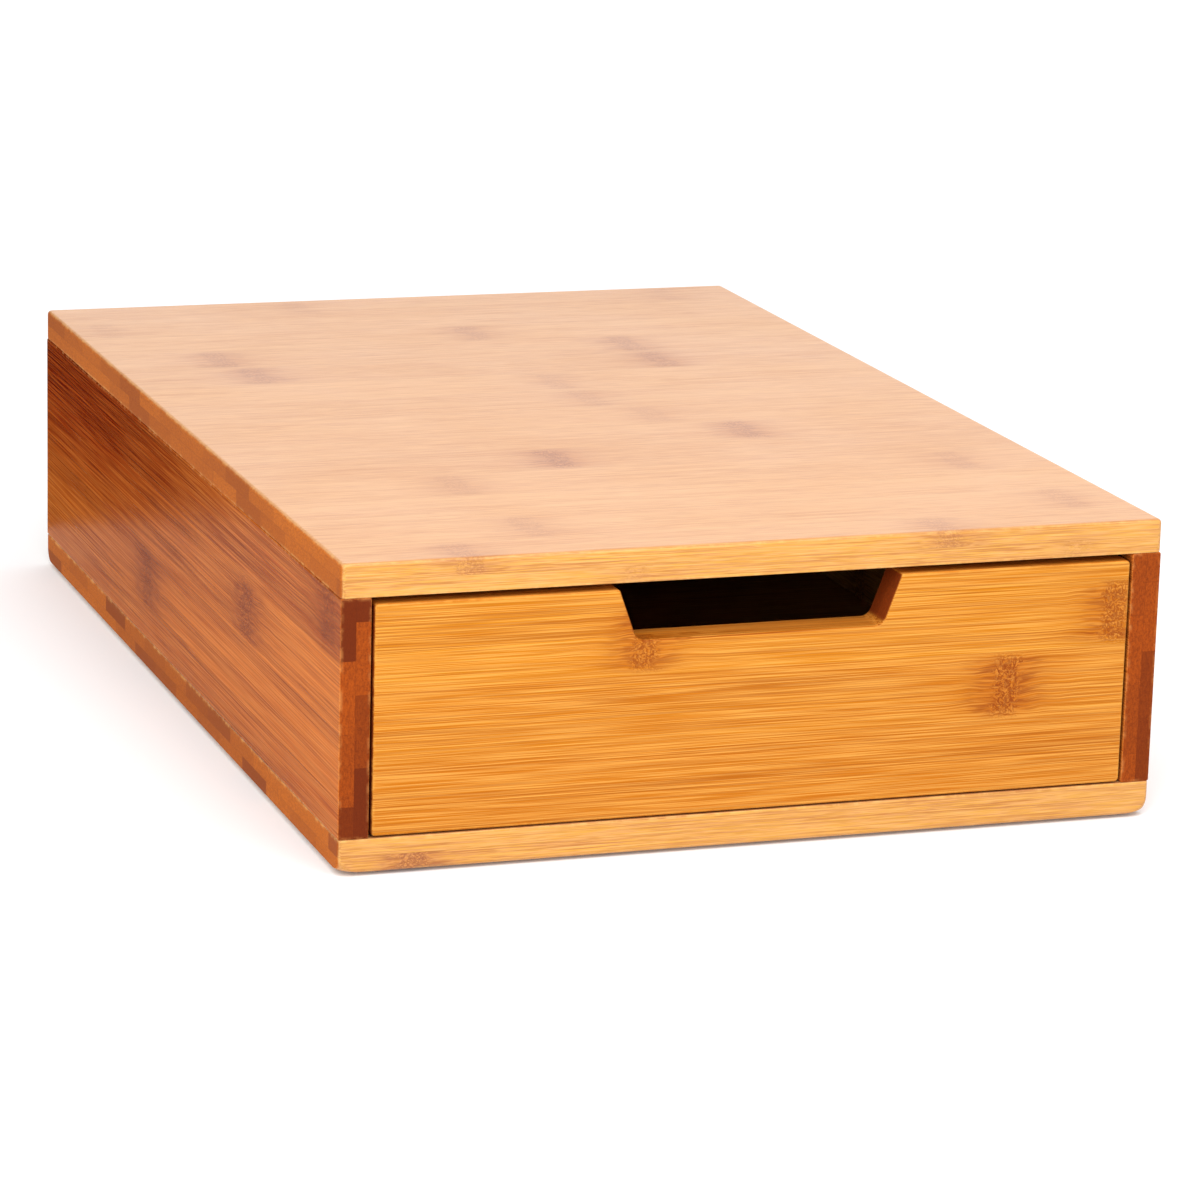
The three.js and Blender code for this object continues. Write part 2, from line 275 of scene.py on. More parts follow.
def lath_grid_effect() -> Effect:
    """Which glued lath a point of a two-ply board is in, and how near it is to a glue line."""
    graph, taken, given = open_group(
        "lath_grid",
        {
            "Across": 0.0, "Depth": 0.0, "Lath Width": 20.0, "First Joint": 0.0,
            "Ply": 5.0, "Shown": 4.0, "Count": 8.0,
        },
        ("Lookup", "Key", "Edge", "Glue Line"),
    )
    ply = graph.math("FLOOR", graph.math("DIVIDE", taken["Depth"], taken["Ply"]))
    start = graph.math("SUBTRACT", taken["Across"], taken["First Joint"])
    place = graph.total(graph.math("DIVIDE", start, taken["Lath Width"]), graph.times(ply, PLY_STAGGER))
    index = graph.math("FLOOR", place)
    part = graph.math("FRACT", place)
    near = graph.math("MINIMUM", part, graph.rest(part))
    across_gap = graph.times(near, taken["Lath Width"])
    gap = graph.math("MINIMUM", across_gap, graph.gap(taken["Depth"], taken["Ply"]))
    turn = graph.math("DIVIDE", graph.total(index, 0.5, graph.times(ply, taken["Shown"])), taken["Count"])
    graph.feed(given["Lookup"], graph.math("FRACT", turn))
    graph.feed(given["Key"], graph.total(graph.times(index, LATH_KEY), graph.times(ply, PLY_KEY)))
    graph.feed(given["Edge"], across_gap)
    graph.feed(given["Glue Line"], graph.rise(gap, *GLUE_REACH))
    return Effect(graph.tree)


def knot_effect() -> Effect:
    """The band that a bamboo joint leaves across a lath, up to two on each lath."""
    graph, taken, given = open_group(
        "bamboo_knot",
        {
            "Along": 0.0, "Across": 0.0, "Depth": 0.0, "Key": 0.0, "Edge": 5.0,
            "Knot A": 0.0, "Knot B": 0.0, "Strength": 1.0, "Span": 1.0,
        },
        ("Band", "Halo", "Comb", "Worm", "Chip", "Swirl"),
    )
    along, across, depth = taken["Along"], taken["Across"], taken["Depth"]

    def marks(
        per_along: float, per_width: float, sideways: Socket, roughness: float, detail: float = 2.0
    ) -> Socket:
        """Noise with so many features to a millimetre along the grain and across it."""
        sides = (graph.times(sideways, per_width), graph.times(depth, per_width))
        return graph.noise(graph.point(graph.times(along, per_along), *sides), detail, roughness)

    bend_at = graph.point(graph.times(across, 0.16), taken["Key"], graph.times(depth, 0.16))
    bend = graph.times(graph.centred(graph.noise(bend_at, 1.0)), 7.0)
    fray = graph.times(graph.centred(marks(0.05, 1.1, across, 0.6)), 6.0)
    moved = graph.total(along, bend, fray)
    nearest = graph.math("MINIMUM", graph.gap(moved, taken["Knot A"]), graph.gap(moved, taken["Knot B"]))
    away = graph.math("DIVIDE", nearest, taken["Span"])
    strength = graph.times(taken["Strength"], graph.rise(taken["Edge"], -0.8, 4.0))
    core, band, comb_zone, halo = (
        graph.times(graph.rise(away, *reach), strength)
        for reach in (KNOT_CORE, KNOT_BAND, KNOT_COMB, KNOT_HALO)
    )
    curl = graph.times(graph.centred(marks(0.4, 0.5, across, 0.6)), core, 4.5)
    flare = graph.times(graph.centred(marks(0.07, 0.12, across, 0.5, 1.0)), halo, 3.6)
    swirl = graph.total(curl, flare)
    bent = graph.total(across, swirl)
    comb = graph.rise(marks(0.09, 1.35, bent, 0.6), 0.46, 0.58)
    worm = graph.gap(marks(0.75, 0.95, bent, 0.55), 0.5)
    chip_at = graph.point(graph.times(along, 0.6), graph.times(bent, 0.9), graph.total(depth, 40.0))
    graph.feed(given["Band"], band)
    graph.feed(given["Halo"], halo)
    graph.feed(given["Comb"], graph.times(comb, comb_zone, graph.rest(graph.times(core, 0.75))))
    graph.feed(given["Worm"], graph.times(graph.rise(worm, 0.1, 0.03), core))
    graph.feed(given["Chip"], graph.times(graph.rise(graph.noise(chip_at, 2.0, 0.6), 0.5, 0.64), core))
    graph.feed(given["Swirl"], swirl)
    return Effect(graph.tree)


@dataclass(frozen=True)
class FibreMark:
    """One kind of fibre: its size in millimetres, its noise, and where it starts and is full in it."""

    length: float
    width: float
    detail: float
    roughness: float
    starts: float
    full: float


STREAK = FibreMark(105.0, 2.0, 3.0, 0.65, 0.36, 0.66)
LINE = FibreMark(36.0, 0.4, 2.0, 0.6, 0.44, 0.66)
DASH = FibreMark(7.5, 0.34, 1.0, 0.5, 0.52, 0.7)
FINE = FibreMark(10.0, 0.27, 1.0, 0.5, 0.34, 0.66)


def fibre_effect() -> Effect:
    """Long bamboo fibres: broad streaks, thin dark lines and a fine grain, curled by a knot."""
    graph, taken, given = open_group(
        "bamboo_fibre",
        {"Along": 0.0, "Across": 0.0, "Depth": 0.0, "Key": 0.0, "Swirl": 0.0, "Stretch": 1.0},
        ("Streak", "Line", "Dash", "Fine"),
    )
    along = graph.math("DIVIDE", taken["Along"], taken["Stretch"])
    key = graph.times(taken["Key"], 2.9)
    sway_at = graph.point(graph.times(along, 0.012), key, graph.times(taken["Across"], 0.04))
    sway = graph.times(graph.centred(graph.noise(sway_at, 1.0)), 1.3)
    moved = graph.total(taken["Across"], sway, taken["Swirl"])
    vigour = graph.noise(graph.point(graph.times(along, 0.008), graph.times(moved, 0.16), key), 1.0)
    drive = graph.total(0.45, graph.times(graph.rise(vigour, 0.35, 0.65), 0.55))

    def drawn(mark: FibreMark) -> Socket:
        """How strong a kind of fibre is here, from 0 to 1."""
        spot = graph.point(
            graph.total(graph.times(along, 1 / mark.length), key),
            graph.total(graph.times(moved, 1 / mark.width), key),
            graph.times(taken["Depth"], 1 / mark.width),
        )
        return graph.rise(graph.noise(spot, mark.detail, mark.roughness), mark.starts, mark.full)

    graph.feed(given["Streak"], drawn(STREAK))
    graph.feed(given["Line"], graph.times(drawn(LINE), drive))
    graph.feed(given["Dash"], graph.times(drawn(DASH), drive))
    graph.feed(given["Fine"], drawn(FINE))
    return Effect(graph.tree)


def end_grain_effect() -> Effect:
    """The cut end of the laths: small dark fibre bundles in a paler ground."""
    graph, taken, given = open_group(
        "bamboo_end_grain",
        {"Across": 0.0, "Depth": 0.0, "Key": 0.0, "Facing": 0.0},
        ("Mask", "Bundle", "Mottle"),
    )
    key = taken["Key"]
    place = graph.point(graph.total(taken["Across"], key), graph.times(taken["Depth"], 1.25), key)
    cells = graph.node("ShaderNodeTexVoronoi", voronoi_dimensions="3D", feature="F1")
    graph.feed(cells.inputs["Vector"], place)
    cells.inputs["Scale"].default_value = 1.7
    mottle_at = graph.point(graph.times(taken["Across"], 0.8), graph.times(taken["Depth"], 1.8), key)
    graph.feed(given["Mask"], graph.rise(graph.math("ABSOLUTE", taken["Facing"]), 0.55, 0.9))
    graph.feed(given["Bundle"], graph.rise(cells.outputs["Distance"], 0.42, 0.16))
    graph.feed(given["Mottle"], graph.rise(graph.noise(mottle_at, 4.0, 0.7), 0.35, 0.68))
    return Effect(graph.tree)


def arris_effect() -> Effect:
    """How near a point of a board is to one of its arrises, broken up as handling leaves it."""
    graph, taken, given = open_group(
        "arris_wear",
        {"X": 0.0, "Y": 0.0, "Z": 0.0, "Width": 1.0, "To X": 5.0, "To Y": 5.0, "To Z": 5.0},
        ("Wear",),
    )
    gaps = [taken["To X"], taken["To Y"], taken["To Z"]]
    largest = graph.math("MAXIMUM", graph.math("MAXIMUM", gaps[0], gaps[1]), gaps[2])
    smallest = graph.math("MINIMUM", graph.math("MINIMUM", gaps[0], gaps[1]), gaps[2])
    middle = graph.math("SUBTRACT", graph.math("SUBTRACT", graph.total(*gaps), largest), smallest)
    spots = graph.noise(graph.point(*(graph.times(taken[axis], 0.3) for axis in "XYZ")), 4.0, 0.65)
    edge = graph.rest(graph.math("DIVIDE", middle, taken["Width"], clamp=True))
    graph.feed(given["Wear"], graph.times(edge, graph.rise(spots, 0.42, 0.66)))
    return Effect(graph.tree)


@dataclass
class EffectShelf:
    """The groups that the finishes share, each built once."""

    laths: Effect = field(default_factory=lath_grid_effect)
    knots: Effect = field(default_factory=knot_effect)
    fibres: Effect = field(default_factory=fibre_effect)
    end_grain: Effect = field(default_factory=end_grain_effect)
    arris: Effect = field(default_factory=arris_effect)


# How a board is laid up


class Lie(Enum):
    """The axes that a board's grain runs along, its laths lie across, and its thickness spans."""

    FLAT_ACROSS = (0, 1, 2)
    UPRIGHT_ACROSS = (0, 2, 1)
    UPRIGHT_DEEP = (1, 2, 0)


@dataclass(frozen=True)
class Lath:
    """One glued lath: its tone from 0, dark, to 1, pale, and where its knots are along it, in mm."""

    tone: float
    knots: tuple[float, ...] = ()
    strength: float = 0.8


@dataclass(frozen=True)
class LayUp:
    """The laths of one board, in millimetres, listed from the low end of the board's width."""

    lie: Lie
    show_side: int
    lath_width: float
    first_joint: float
    ply: float
    laths: tuple[Lath, ...]
    backing: tuple[Lath, ...] = ()

    def table(self) -> tuple[Lath, ...]:
        """The laths of the show ply, then those of the ply behind it."""
        return (*self.laths, *(self.backing or reversed(self.laths)))


# In millimetres: where a knot is put that a lath doesn't have, how far from the middle one can be
# stored, how thin the skin is that is taken for the inside of a ply, and how wide arrises wear.
NO_KNOT = 900.0
KNOT_SPAN = 1000.0
SKIN = 0.05
ARRIS_WIDTH = 1.1


def random_laths(count: int, seed: int, reach: float) -> tuple[Lath, ...]:
    """Laths for a board whose own laths are not chosen by hand.

    Args:
        count: how many laths.
        seed: the same seed gives the same laths.
        reach: half the board's length along the grain, in millimetres.

    Returns:
        The laths, about two in three of them with a knot.
    """
    dice = random.Random(seed)
    laths = []
    for _ in range(count):
        tone = dice.uniform(0.2, 0.9)
        spot = dice.uniform(-reach, reach)
        laths.append(Lath(tone, (spot,) if dice.random() < 0.65 else ()))
    return tuple(laths)


@dataclass
class Surface:
    """What is known of a point on a board, as sockets in the board's own material.

    The position is in millimetres, the tone is the lath's from 0 to 1, and the side grain is 1 where
    the narrow side of a lath shows. The others are the outputs of the placed effects.
    """

    graph: Graph
    position: tuple[Socket, Socket, Socket]
    tone: Socket
    side_grain: Socket
    grid: bpy.types.NodeOutputs
    knots: bpy.types.NodeOutputs
    fibres: bpy.types.NodeOutputs
    ends: bpy.types.NodeOutputs
    arris: bpy.types.NodeOutputs


@dataclass(frozen=True)
class BambooFinish:
    """Caramel bamboo laths under a satin lacquer.

    Each share says how much of its colour a mark lays over the wood. The painted shade darkens a
    board from one place to another along its length and its height, in millimetres: shade painted
    into the colour, deepest towards the rear and the top, and less on the pale fine fibres.
    """

    name: str
    slot: str
    pale: Colour
    dark: Colour
    shine: Colour
    edge: Colour
    streak: Colour
    line: Colour
    knot: Colour
    knot_fleck: Colour
    end_ground: Colour
    end_bundle: Colour
    glue: Colour
    worn: Colour
    painted_shade: Colour = WHITE
    painted_shade_depth: float = 0.0
    figure: float = 0.45
    lines: float = 0.6
    roughness: float = 0.36
    gloss: float = 0.5
    coat: float = 0.2
    coat_roughness: float = 0.25
    stretch: float = 1.0
    knot_span: float = 1.0
    edge_share: float = 0.85
    fine_share: float = 0.55
    dash_share: float = 0.6
    halo_share: float = 0.4
    band_share: float = 0.36
    comb_share: float = 0.6
    worm_share: float = 0.8
    chip_share: float = 0.1
    bundle_share: float = 0.35
    mottle_share: float = 0.5
    glue_share: float = 0.2
    worn_share: float = 0.5
    painted_shade_along: tuple[float, float] = (-110.0, 130.0)
    painted_shade_up: tuple[float, float] = (12.0, 70.0)
    painted_shade_grain: float = 0.4

    def dress(self, piece: bpy.types.Object, lay_up: LayUp, shelf: EffectShelf) -> None:
        """Gives a board its material.

        Args:
            piece: the board, whose own coordinates are those of the whole box.
            lay_up: its laths.
            shelf: the shared effects.
        """
        graph, shader = open_material(piece, self.name)
        surface = self.survey(graph, piece, lay_up, shelf)
        graph.feed(shader.inputs["Base Color"], self.colour(surface))
        graph.feed(shader.inputs["Roughness"], self.sheen(surface))
        graph.feed(shader.inputs["Normal"], self.relief(surface))
        graph.feed(shader.inputs["Coat Weight"], graph.times(graph.rest(surface.ends["Mask"]), self.coat))
        shader.inputs["Specular IOR Level"].default_value = self.gloss
        shader.inputs["Coat Roughness"].default_value = self.coat_roughness

    def survey(self, graph: Graph, piece: bpy.types.Object, lay_up: LayUp, shelf: EffectShelf) -> Surface:
        """Places the shared effects on a board.

        Args:
            graph: the graph of the board's material.
            piece: the board.
            lay_up: its laths.
            shelf: the shared effects.

        Returns:
            What is known of each point of the board.
        """
        low, high = (corner / MM for corner in extent(piece))
        position = graph.split(graph.own_place())
        grain_axis, width_axis, thin_axis = lay_up.lie.value
        along, across = position[grain_axis], position[width_axis]
        show = high if lay_up.show_side > 0 else low
        from_show = graph.gap(position[thin_axis], show[thin_axis])
        deepest = high[thin_axis] - low[thin_axis] - SKIN
        depth = graph.math("MINIMUM", graph.math("MAXIMUM", from_show, SKIN), deepest)
        grid = shelf.laths.place(
            graph, across=across, depth=depth, lath_width=lay_up.lath_width, first_joint=lay_up.first_joint,
            ply=lay_up.ply, shown=float(len(lay_up.laths)), count=float(len(lay_up.table())),
        )
        tone, knot_a, knot_b, strength = self.read_laths(graph, grid["Lookup"], lay_up)
        spot = {"along": along, "across": across, "depth": depth, "key": grid["Key"]}
        knots = shelf.knots.place(
            graph, **spot, edge=grid["Edge"], knot_a=knot_a, knot_b=knot_b, strength=strength,
            span=self.knot_span,
        )
        fibres = shelf.fibres.place(graph, **spot, swirl=knots["Swirl"], stretch=self.stretch)
        normal = graph.split(graph.node("ShaderNodeNewGeometry").outputs["Normal"])
        ends = shelf.end_grain.place(
            graph, across=across, depth=depth, key=grid["Key"], facing=normal[grain_axis]
        )
        side_grain = graph.rise(graph.math("ABSOLUTE", normal[width_axis]), 0.3, 0.9)
        gaps = {}
        for axis, name in enumerate("xyz"):
            offset = graph.gap(position[axis], (low[axis] + high[axis]) / 2)
            gaps[name] = position[axis]
            gaps[f"to_{name}"] = graph.math("SUBTRACT", (high[axis] - low[axis]) / 2, offset)
        arris = shelf.arris.place(graph, width=ARRIS_WIDTH, **gaps)
        return Surface(graph, position, tone, side_grain, grid, knots, fibres, ends, arris)

    def read_laths(
        self, graph: Graph, lookup: Socket, lay_up: LayUp
    ) -> tuple[Socket, Socket, Socket, Socket]:
        """Reads what is known of the lath that a point is in.

        Args:
            graph: the graph of the material.
            lookup: the lath's place in the list, from 0 to 1.
            lay_up: the board's laths.

        Returns:
            The tone from 0 to 1, two knots' places along the grain in millimetres, and the knots'
            strength.
        """
        table = graph.node("ShaderNodeValToRGB")
        ramp = table.color_ramp
        ramp.interpolation = "CONSTANT"
        count = len(lay_up.table())
        while len(ramp.elements) < count:
            ramp.elements.new(0.5)
        for index, lath in enumerate(lay_up.table()):
            spots = (*lath.knots, NO_KNOT, NO_KNOT)[:2]
            stored = [(spot + KNOT_SPAN) / (2 * KNOT_SPAN) for spot in spots]
            ramp.elements[index].position = index / count
            ramp.elements[index].color = (lath.tone, stored[0], stored[1], lath.strength)
        graph.feed(table.inputs[0], lookup)
        channels = graph.node("ShaderNodeSeparateColor")
        graph.feed(channels.inputs[0], table.outputs["Color"])
        knot_a, knot_b = (
            graph.math("SUBTRACT", graph.times(channels.outputs[i], 2 * KNOT_SPAN), KNOT_SPAN) for i in (1, 2)
        )
        return channels.outputs[0], knot_a, knot_b, table.outputs["Alpha"]

    def colour(self, surface: Surface) -> Socket:
        """The colour of the board.

        Args:
            surface: what is known of the point.

        Returns:
            The socket that gives the colour.
        """
        graph, fibres, knots, ends = surface.graph, surface.fibres, surface.knots, surface.ends
        quiet = graph.rest(graph.times(surface.side_grain, 0.5))
        busy = graph.times(graph.total(1.0, graph.times(surface.side_grain, 0.8)), self.lines)
        colour = graph.blend(surface.tone, self.dark, self.pale)
        for share, paint_over in (
            (graph.times(surface.side_grain, self.edge_share), self.edge),
            (graph.times(fibres["Streak"], quiet, self.figure), self.streak),
            (graph.times(fibres["Fine"], self.fine_share), self.shine),
            (graph.times(knots["Halo"], self.halo_share), self.streak),
            (graph.times(fibres["Line"], busy), self.line),
            (graph.times(fibres["Dash"], busy, self.dash_share), self.line),
            (graph.times(knots["Band"], self.band_share), self.knot),
            (graph.times(knots["Comb"], self.comb_share), self.knot_fleck),
            (graph.times(knots["Worm"], self.worm_share), self.knot_fleck),
            (graph.times(knots["Chip"], self.chip_share), self.shine),
        ):
            colour = graph.blend(share, colour, paint_over)
        # Painted shade: the colour is darkened towards the rear and the top of the board, where less light
        # falls.
        if self.painted_shade_depth > 0:
            shade_share = graph.math("SUBTRACT", self.painted_shade_depth, graph.times(fibres["Fine"], self.painted_shade_grain))
            rearward = graph.rise(surface.position[1], *self.painted_shade_along)
            upward = graph.rise(surface.position[2], *self.painted_shade_up)
            colour = graph.blend(graph.times(rearward, upward, shade_share), colour, self.painted_shade, "MULTIPLY")
        cut = graph.blend(graph.rise(surface.tone, 0.0, 1.0), self.end_bundle, self.end_ground)
        cut = graph.blend(graph.times(ends["Bundle"], self.bundle_share), cut, self.end_bundle)
        cut = graph.blend(graph.times(ends["Mottle"], self.mottle_share), cut, self.end_bundle)
        colour = graph.blend(ends["Mask"], colour, cut)
        colour = graph.blend(graph.times(surface.grid["Glue Line"], self.glue_share), colour, self.glue)
        return graph.blend(graph.times(surface.arris["Wear"], self.worn_share), colour, self.worn)

    def sheen(self, surface: Surface) -> Socket:
        """The roughness: lacquer over long grain, duller on knots, end grain and worn arrises.

        Args:
            surface: what is known of the point.

        Returns:
            The socket that gives the roughness.
        """
        graph = surface.graph
        return graph.total(
            self.roughness,
            graph.times(graph.centred(graph.cloud(surface.position, 0.02, 3.0)), 0.12),
            graph.times(surface.fibres["Line"], 0.06),
            graph.times(surface.knots["Band"], 0.05),
            graph.times(surface.ends["Mask"], 0.5),
            graph.times(surface.arris["Wear"], 0.1),
        )

    def relief(self, surface: Surface) -> Socket:
        """The fine relief under the lacquer.

        Args:
            surface: what is known of the point.

        Returns:
            The socket that gives the normal.
        """
        graph = surface.graph
        swell = graph.times(graph.cloud(surface.position, 0.035, 2.0), 2.2)
        sunk = graph.total(
            graph.times(surface.fibres["Line"], 0.45),
            graph.times(surface.fibres["Dash"], 0.3),
            graph.times(surface.grid["Glue Line"], 1.2),
            graph.times(surface.knots["Worm"], 0.6),
            graph.times(surface.ends["Mask"], surface.ends["Bundle"], 1.3),
        )
        return graph.bump(graph.math("SUBTRACT", swell, sunk), 0.35)


@dataclass(frozen=True)
class SteelFinish:
    """Bright zinc plate on a small screw, with duller patches."""

    slot: str = "zinc_screw"
    bright: Colour = paint(206, 207, 208)
    dull: Colour = paint(150, 151, 150)

    def dress(self, piece: bpy.types.Object) -> None:
        """Gives a screw its material."""
        graph, shader = open_material(piece, "zinc")
        cloud = graph.noise(graph.own_place(0.9), 4.0, 0.6)
        colour = graph.blend(graph.rise(cloud, 0.35, 0.7), self.bright, self.dull)
        graph.feed(shader.inputs["Base Color"], colour)
        graph.feed(shader.inputs["Roughness"], graph.total(0.24, graph.times(cloud, 0.22)))
        shader.inputs["Metallic"].default_value = 1.0


@dataclass(frozen=True)
class RubberFinish:
    """Matt dark rubber with a fine stipple."""

    slot: str = "pad_rubber"
    dark: Colour = paint(38, 37, 36)
    dusty: Colour = paint(74, 72, 69)

    def dress(self, piece: bpy.types.Object) -> None:
        """Gives a pad its material."""
        graph, shader = open_material(piece, "rubber")
        stipple = graph.noise(graph.own_place(1.4), 5.0, 0.7)
        colour = graph.blend(graph.rise(stipple, 0.5, 0.8), self.dark, self.dusty)
        graph.feed(shader.inputs["Base Color"], colour)
        graph.feed(shader.inputs["Roughness"], graph.total(0.75, graph.times(stipple, 0.2)))
        graph.feed(shader.inputs["Normal"], graph.bump(stipple, 0.4))


@dataclass(frozen=True)
class BeechFinish:
    """Plain beech with short dark flecks along the dowel, so many to a millimetre each way."""

    slot: str = "dowel_wood"
    pale: Colour = paint(226, 200, 160)
    fleck: Colour = paint(176, 134, 92)
    flecks_along: float = 0.35
    flecks_across: float = 2.2

    def dress(self, piece: bpy.types.Object, axis: int) -> None:
        """Gives a dowel its material.

        Args:
            piece: the dowel.
            axis: the axis that it lies along, 0 to 2.
        """
        graph, shader = open_material(piece, "beech")
        scaled = []
        for number, each in enumerate(graph.split(graph.own_place())):
            scaled.append(graph.times(each, self.flecks_along if number == axis else self.flecks_across))
        flecks = graph.rise(graph.noise(graph.point(*scaled), 2.0), 0.56, 0.7)
        graph.feed(shader.inputs["Base Color"], graph.blend(flecks, self.pale, self.fleck))
        graph.feed(shader.inputs["Roughness"], graph.total(0.62, graph.times(flecks, 0.1)))


# Meshes

# Points or levels that are nearer than this are taken as one, and faces this flat are joined.
SAME_POINT = 1e-7
SAME_LEVEL = 1e-6
FLAT_ANGLE = math.radians(0.3)
# A board's upright corners: the least share of their radius that an arris leaves, and the side of the
# middle that each of the four is on, along the board's two broad axes.
LEAST_CORNER = 0.4
CORNER_SIGNS = ((1, -1, -1, 1), (1, 1, -1, -1))


def extent(piece: bpy.types.Object) -> tuple[Vector, Vector]:
    """The lowest and the highest corner of an object's own mesh."""
    points = [vertex.co for vertex in piece.data.vertices]
    low = Vector([min(point[axis] for point in points) for axis in range(3)])
    high = Vector([max(point[axis] for point in points) for axis in range(3)])
    return low, high


def to_object(name: str, shape: bmesh.types.BMesh, smooth_below: float = SHARP_FROM) -> bpy.types.Object:
    """Turns a bmesh into an object of the scene.

    Args:
        name: the object's name.
        shape: the mesh, which is freed.
        smooth_below: faces that meet at less than this angle, in degrees, are shaded as one.

    Returns:
        The object.
    """
    bmesh.ops.recalc_face_normals(shape, faces=shape.faces)
    mesh = bpy.data.meshes.new(name)
    shape.to_mesh(mesh)
    shape.free()
    mesh.shade_smooth()
    mesh.set_sharp_from_angle(angle=math.radians(smooth_below))
    piece = bpy.data.objects.new(name, mesh)
    bpy.context.scene.collection.objects.link(piece)
    return piece


def turned(profile: list[tuple[float, float]], steps: int) -> bmesh.types.BMesh:
    """A solid of revolution about Z.

    Args:
        profile: pairs of radius and height, from the axis at one end to the axis at the other.
        steps: how many sides it has.

    Returns:
        The closed mesh.
    """
    shape = bmesh.new()
    rings = []
    for radius, height in profile:
        if radius == 0:
            rings.append([shape.verts.new((0, 0, height))])
            continue
        ring = []
        for step in range(steps):
            turn = math.tau * step / steps
            ring.append(shape.verts.new((radius * math.cos(turn), radius * math.sin(turn), height)))
        rings.append(ring)
    for lower, upper in zip(rings, rings[1:]):
        for step in range(steps):
            after = (step + 1) % steps
            corners = [lower[step % len(lower)], lower[after % len(lower)]]
            corners += [upper[after % len(upper)], upper[step % len(upper)]]
            shape.faces.new(dict.fromkeys(corners))
    return shape


def carve(piece: bpy.types.Object, cutters: list[bmesh.types.BMesh]) -> None:
    """Cuts every cutter out of a piece.

    Args:
        piece: the piece, whose mesh is replaced.
        cutters: closed meshes in the piece's own coordinates, apart from each other, which are freed.
    """
    if not cutters:
        return
    joined = bmesh.new()
    for cutter in cutters:
        bmesh.ops.recalc_face_normals(cutter, faces=cutter.faces)
        part = bpy.data.meshes.new("cutter_part")
        cutter.to_mesh(part)
        cutter.free()
        joined.from_mesh(part)
        bpy.data.meshes.remove(part)
    tool = to_object(f"{piece.name}_cutter", joined)
    cut = piece.modifiers.new("cut", "BOOLEAN")
    cut.object = tool
    cut.operation = "DIFFERENCE"
    cut.solver = "MANIFOLD"
    bpy.context.view_layer.update()
    result = bpy.data.meshes.new_from_object(piece.evaluated_get(bpy.context.evaluated_depsgraph_get()))
    piece.modifiers.clear()
    shape = bmesh.new()
    shape.from_mesh(result)
    bmesh.ops.remove_doubles(shape, verts=shape.verts, dist=SAME_POINT)
    bmesh.ops.dissolve_limit(shape, angle_limit=FLAT_ANGLE, verts=shape.verts, edges=shape.edges)
    shape.to_mesh(result)
    shape.free()
    piece.data = result
    bpy.data.objects.remove(tool)


def block(low: Vector, high: Vector) -> bmesh.types.BMesh:
    """A box between two corners."""
    shape = bmesh.new()
    size = high - low
    placed = Matrix.Translation((low + high) / 2) @ Matrix.Diagonal((size.x, size.y, size.z, 1))
    bmesh.ops.create_cube(shape, size=1, matrix=placed)
    return shape


@dataclass(frozen=True)
class Arrises:
    """The radii that a board's edges are sanded to: its corners, its show side and its other side.

    A sweep rounds the corners more and more over the sweep height towards the show face.
    """

    corner: float = 0.8 * MM
    show: float = 0.7 * MM
    other: float = 0.5 * MM
    steps: int = 4
    sweep: float = 0.0
    sweep_height: float = 1.0 * MM


def plank(low: Vector, high: Vector, thin: int, show_side: int, arrises: Arrises) -> bmesh.types.BMesh:
    """A board with rounded corners and sanded arrises.

    Args:
        low: its lowest corner.
        high: its highest corner.
        thin: the axis that its thickness spans.
        show_side: 1 if its show face is the high one along that axis, otherwise -1.
        arrises: the radii.

    Returns:
        The closed mesh.
    """
    flat = [axis for axis in range(3) if axis != thin]
    middle, half = (low + high) / 2, (high - low) / 2
    steps = arrises.steps
    lower, upper = (arrises.other, arrises.show) if show_side > 0 else (arrises.show, arrises.other)
    show_level = high[thin] if show_side > 0 else low[thin]
    turns = [math.pi / 2 * step / steps for step in range(steps + 1)]
    levels = [(lower * (1 - math.sin(turn)), low[thin] + lower * (1 - math.cos(turn))) for turn in turns]
    if arrises.sweep > 0:
        for step in range(1, steps + 1):
            share = step / steps if show_side < 0 else 1 - (step - 1) / steps
            levels.append((0.0, show_level - show_side * (arrises.show + share * arrises.sweep_height)))
    for turn in reversed(turns):
        levels.append((upper * (1 - math.sin(turn)), high[thin] - upper * (1 - math.cos(turn))))
    shape = bmesh.new()
    rings = []
    for inset, height in levels:
        near = max(0.0, 1 - abs(height - show_level) / (arrises.show + arrises.sweep_height))
        radius = max(arrises.corner - inset, arrises.corner * LEAST_CORNER)
        radius += arrises.sweep * (1 - math.sqrt(1 - near * near))
        ring = []
        for step in range(4 * (steps + 1)):
            quarter, part = divmod(step, steps + 1)
            turn = math.pi / 2 * (quarter + part / steps)
            point = middle.copy()
            point[thin] = height
            for axis, signs, way in zip(flat, CORNER_SIGNS, (math.cos, math.sin)):
                point[axis] += (half[axis] - inset - radius) * signs[quarter] + radius * way(turn)
            ring.append(shape.verts.new(point))
        rings.append(ring)
    for below, above in zip(rings, rings[1:]):
        for step in range(len(below)):
            after = (step + 1) % len(below)
            shape.faces.new((below[step], below[after], above[after], above[step]))
    shape.faces.new(reversed(rings[0]))
    shape.faces.new(rings[-1])
    return shape


# The pieces

UP = Vector((0, 0, 1))


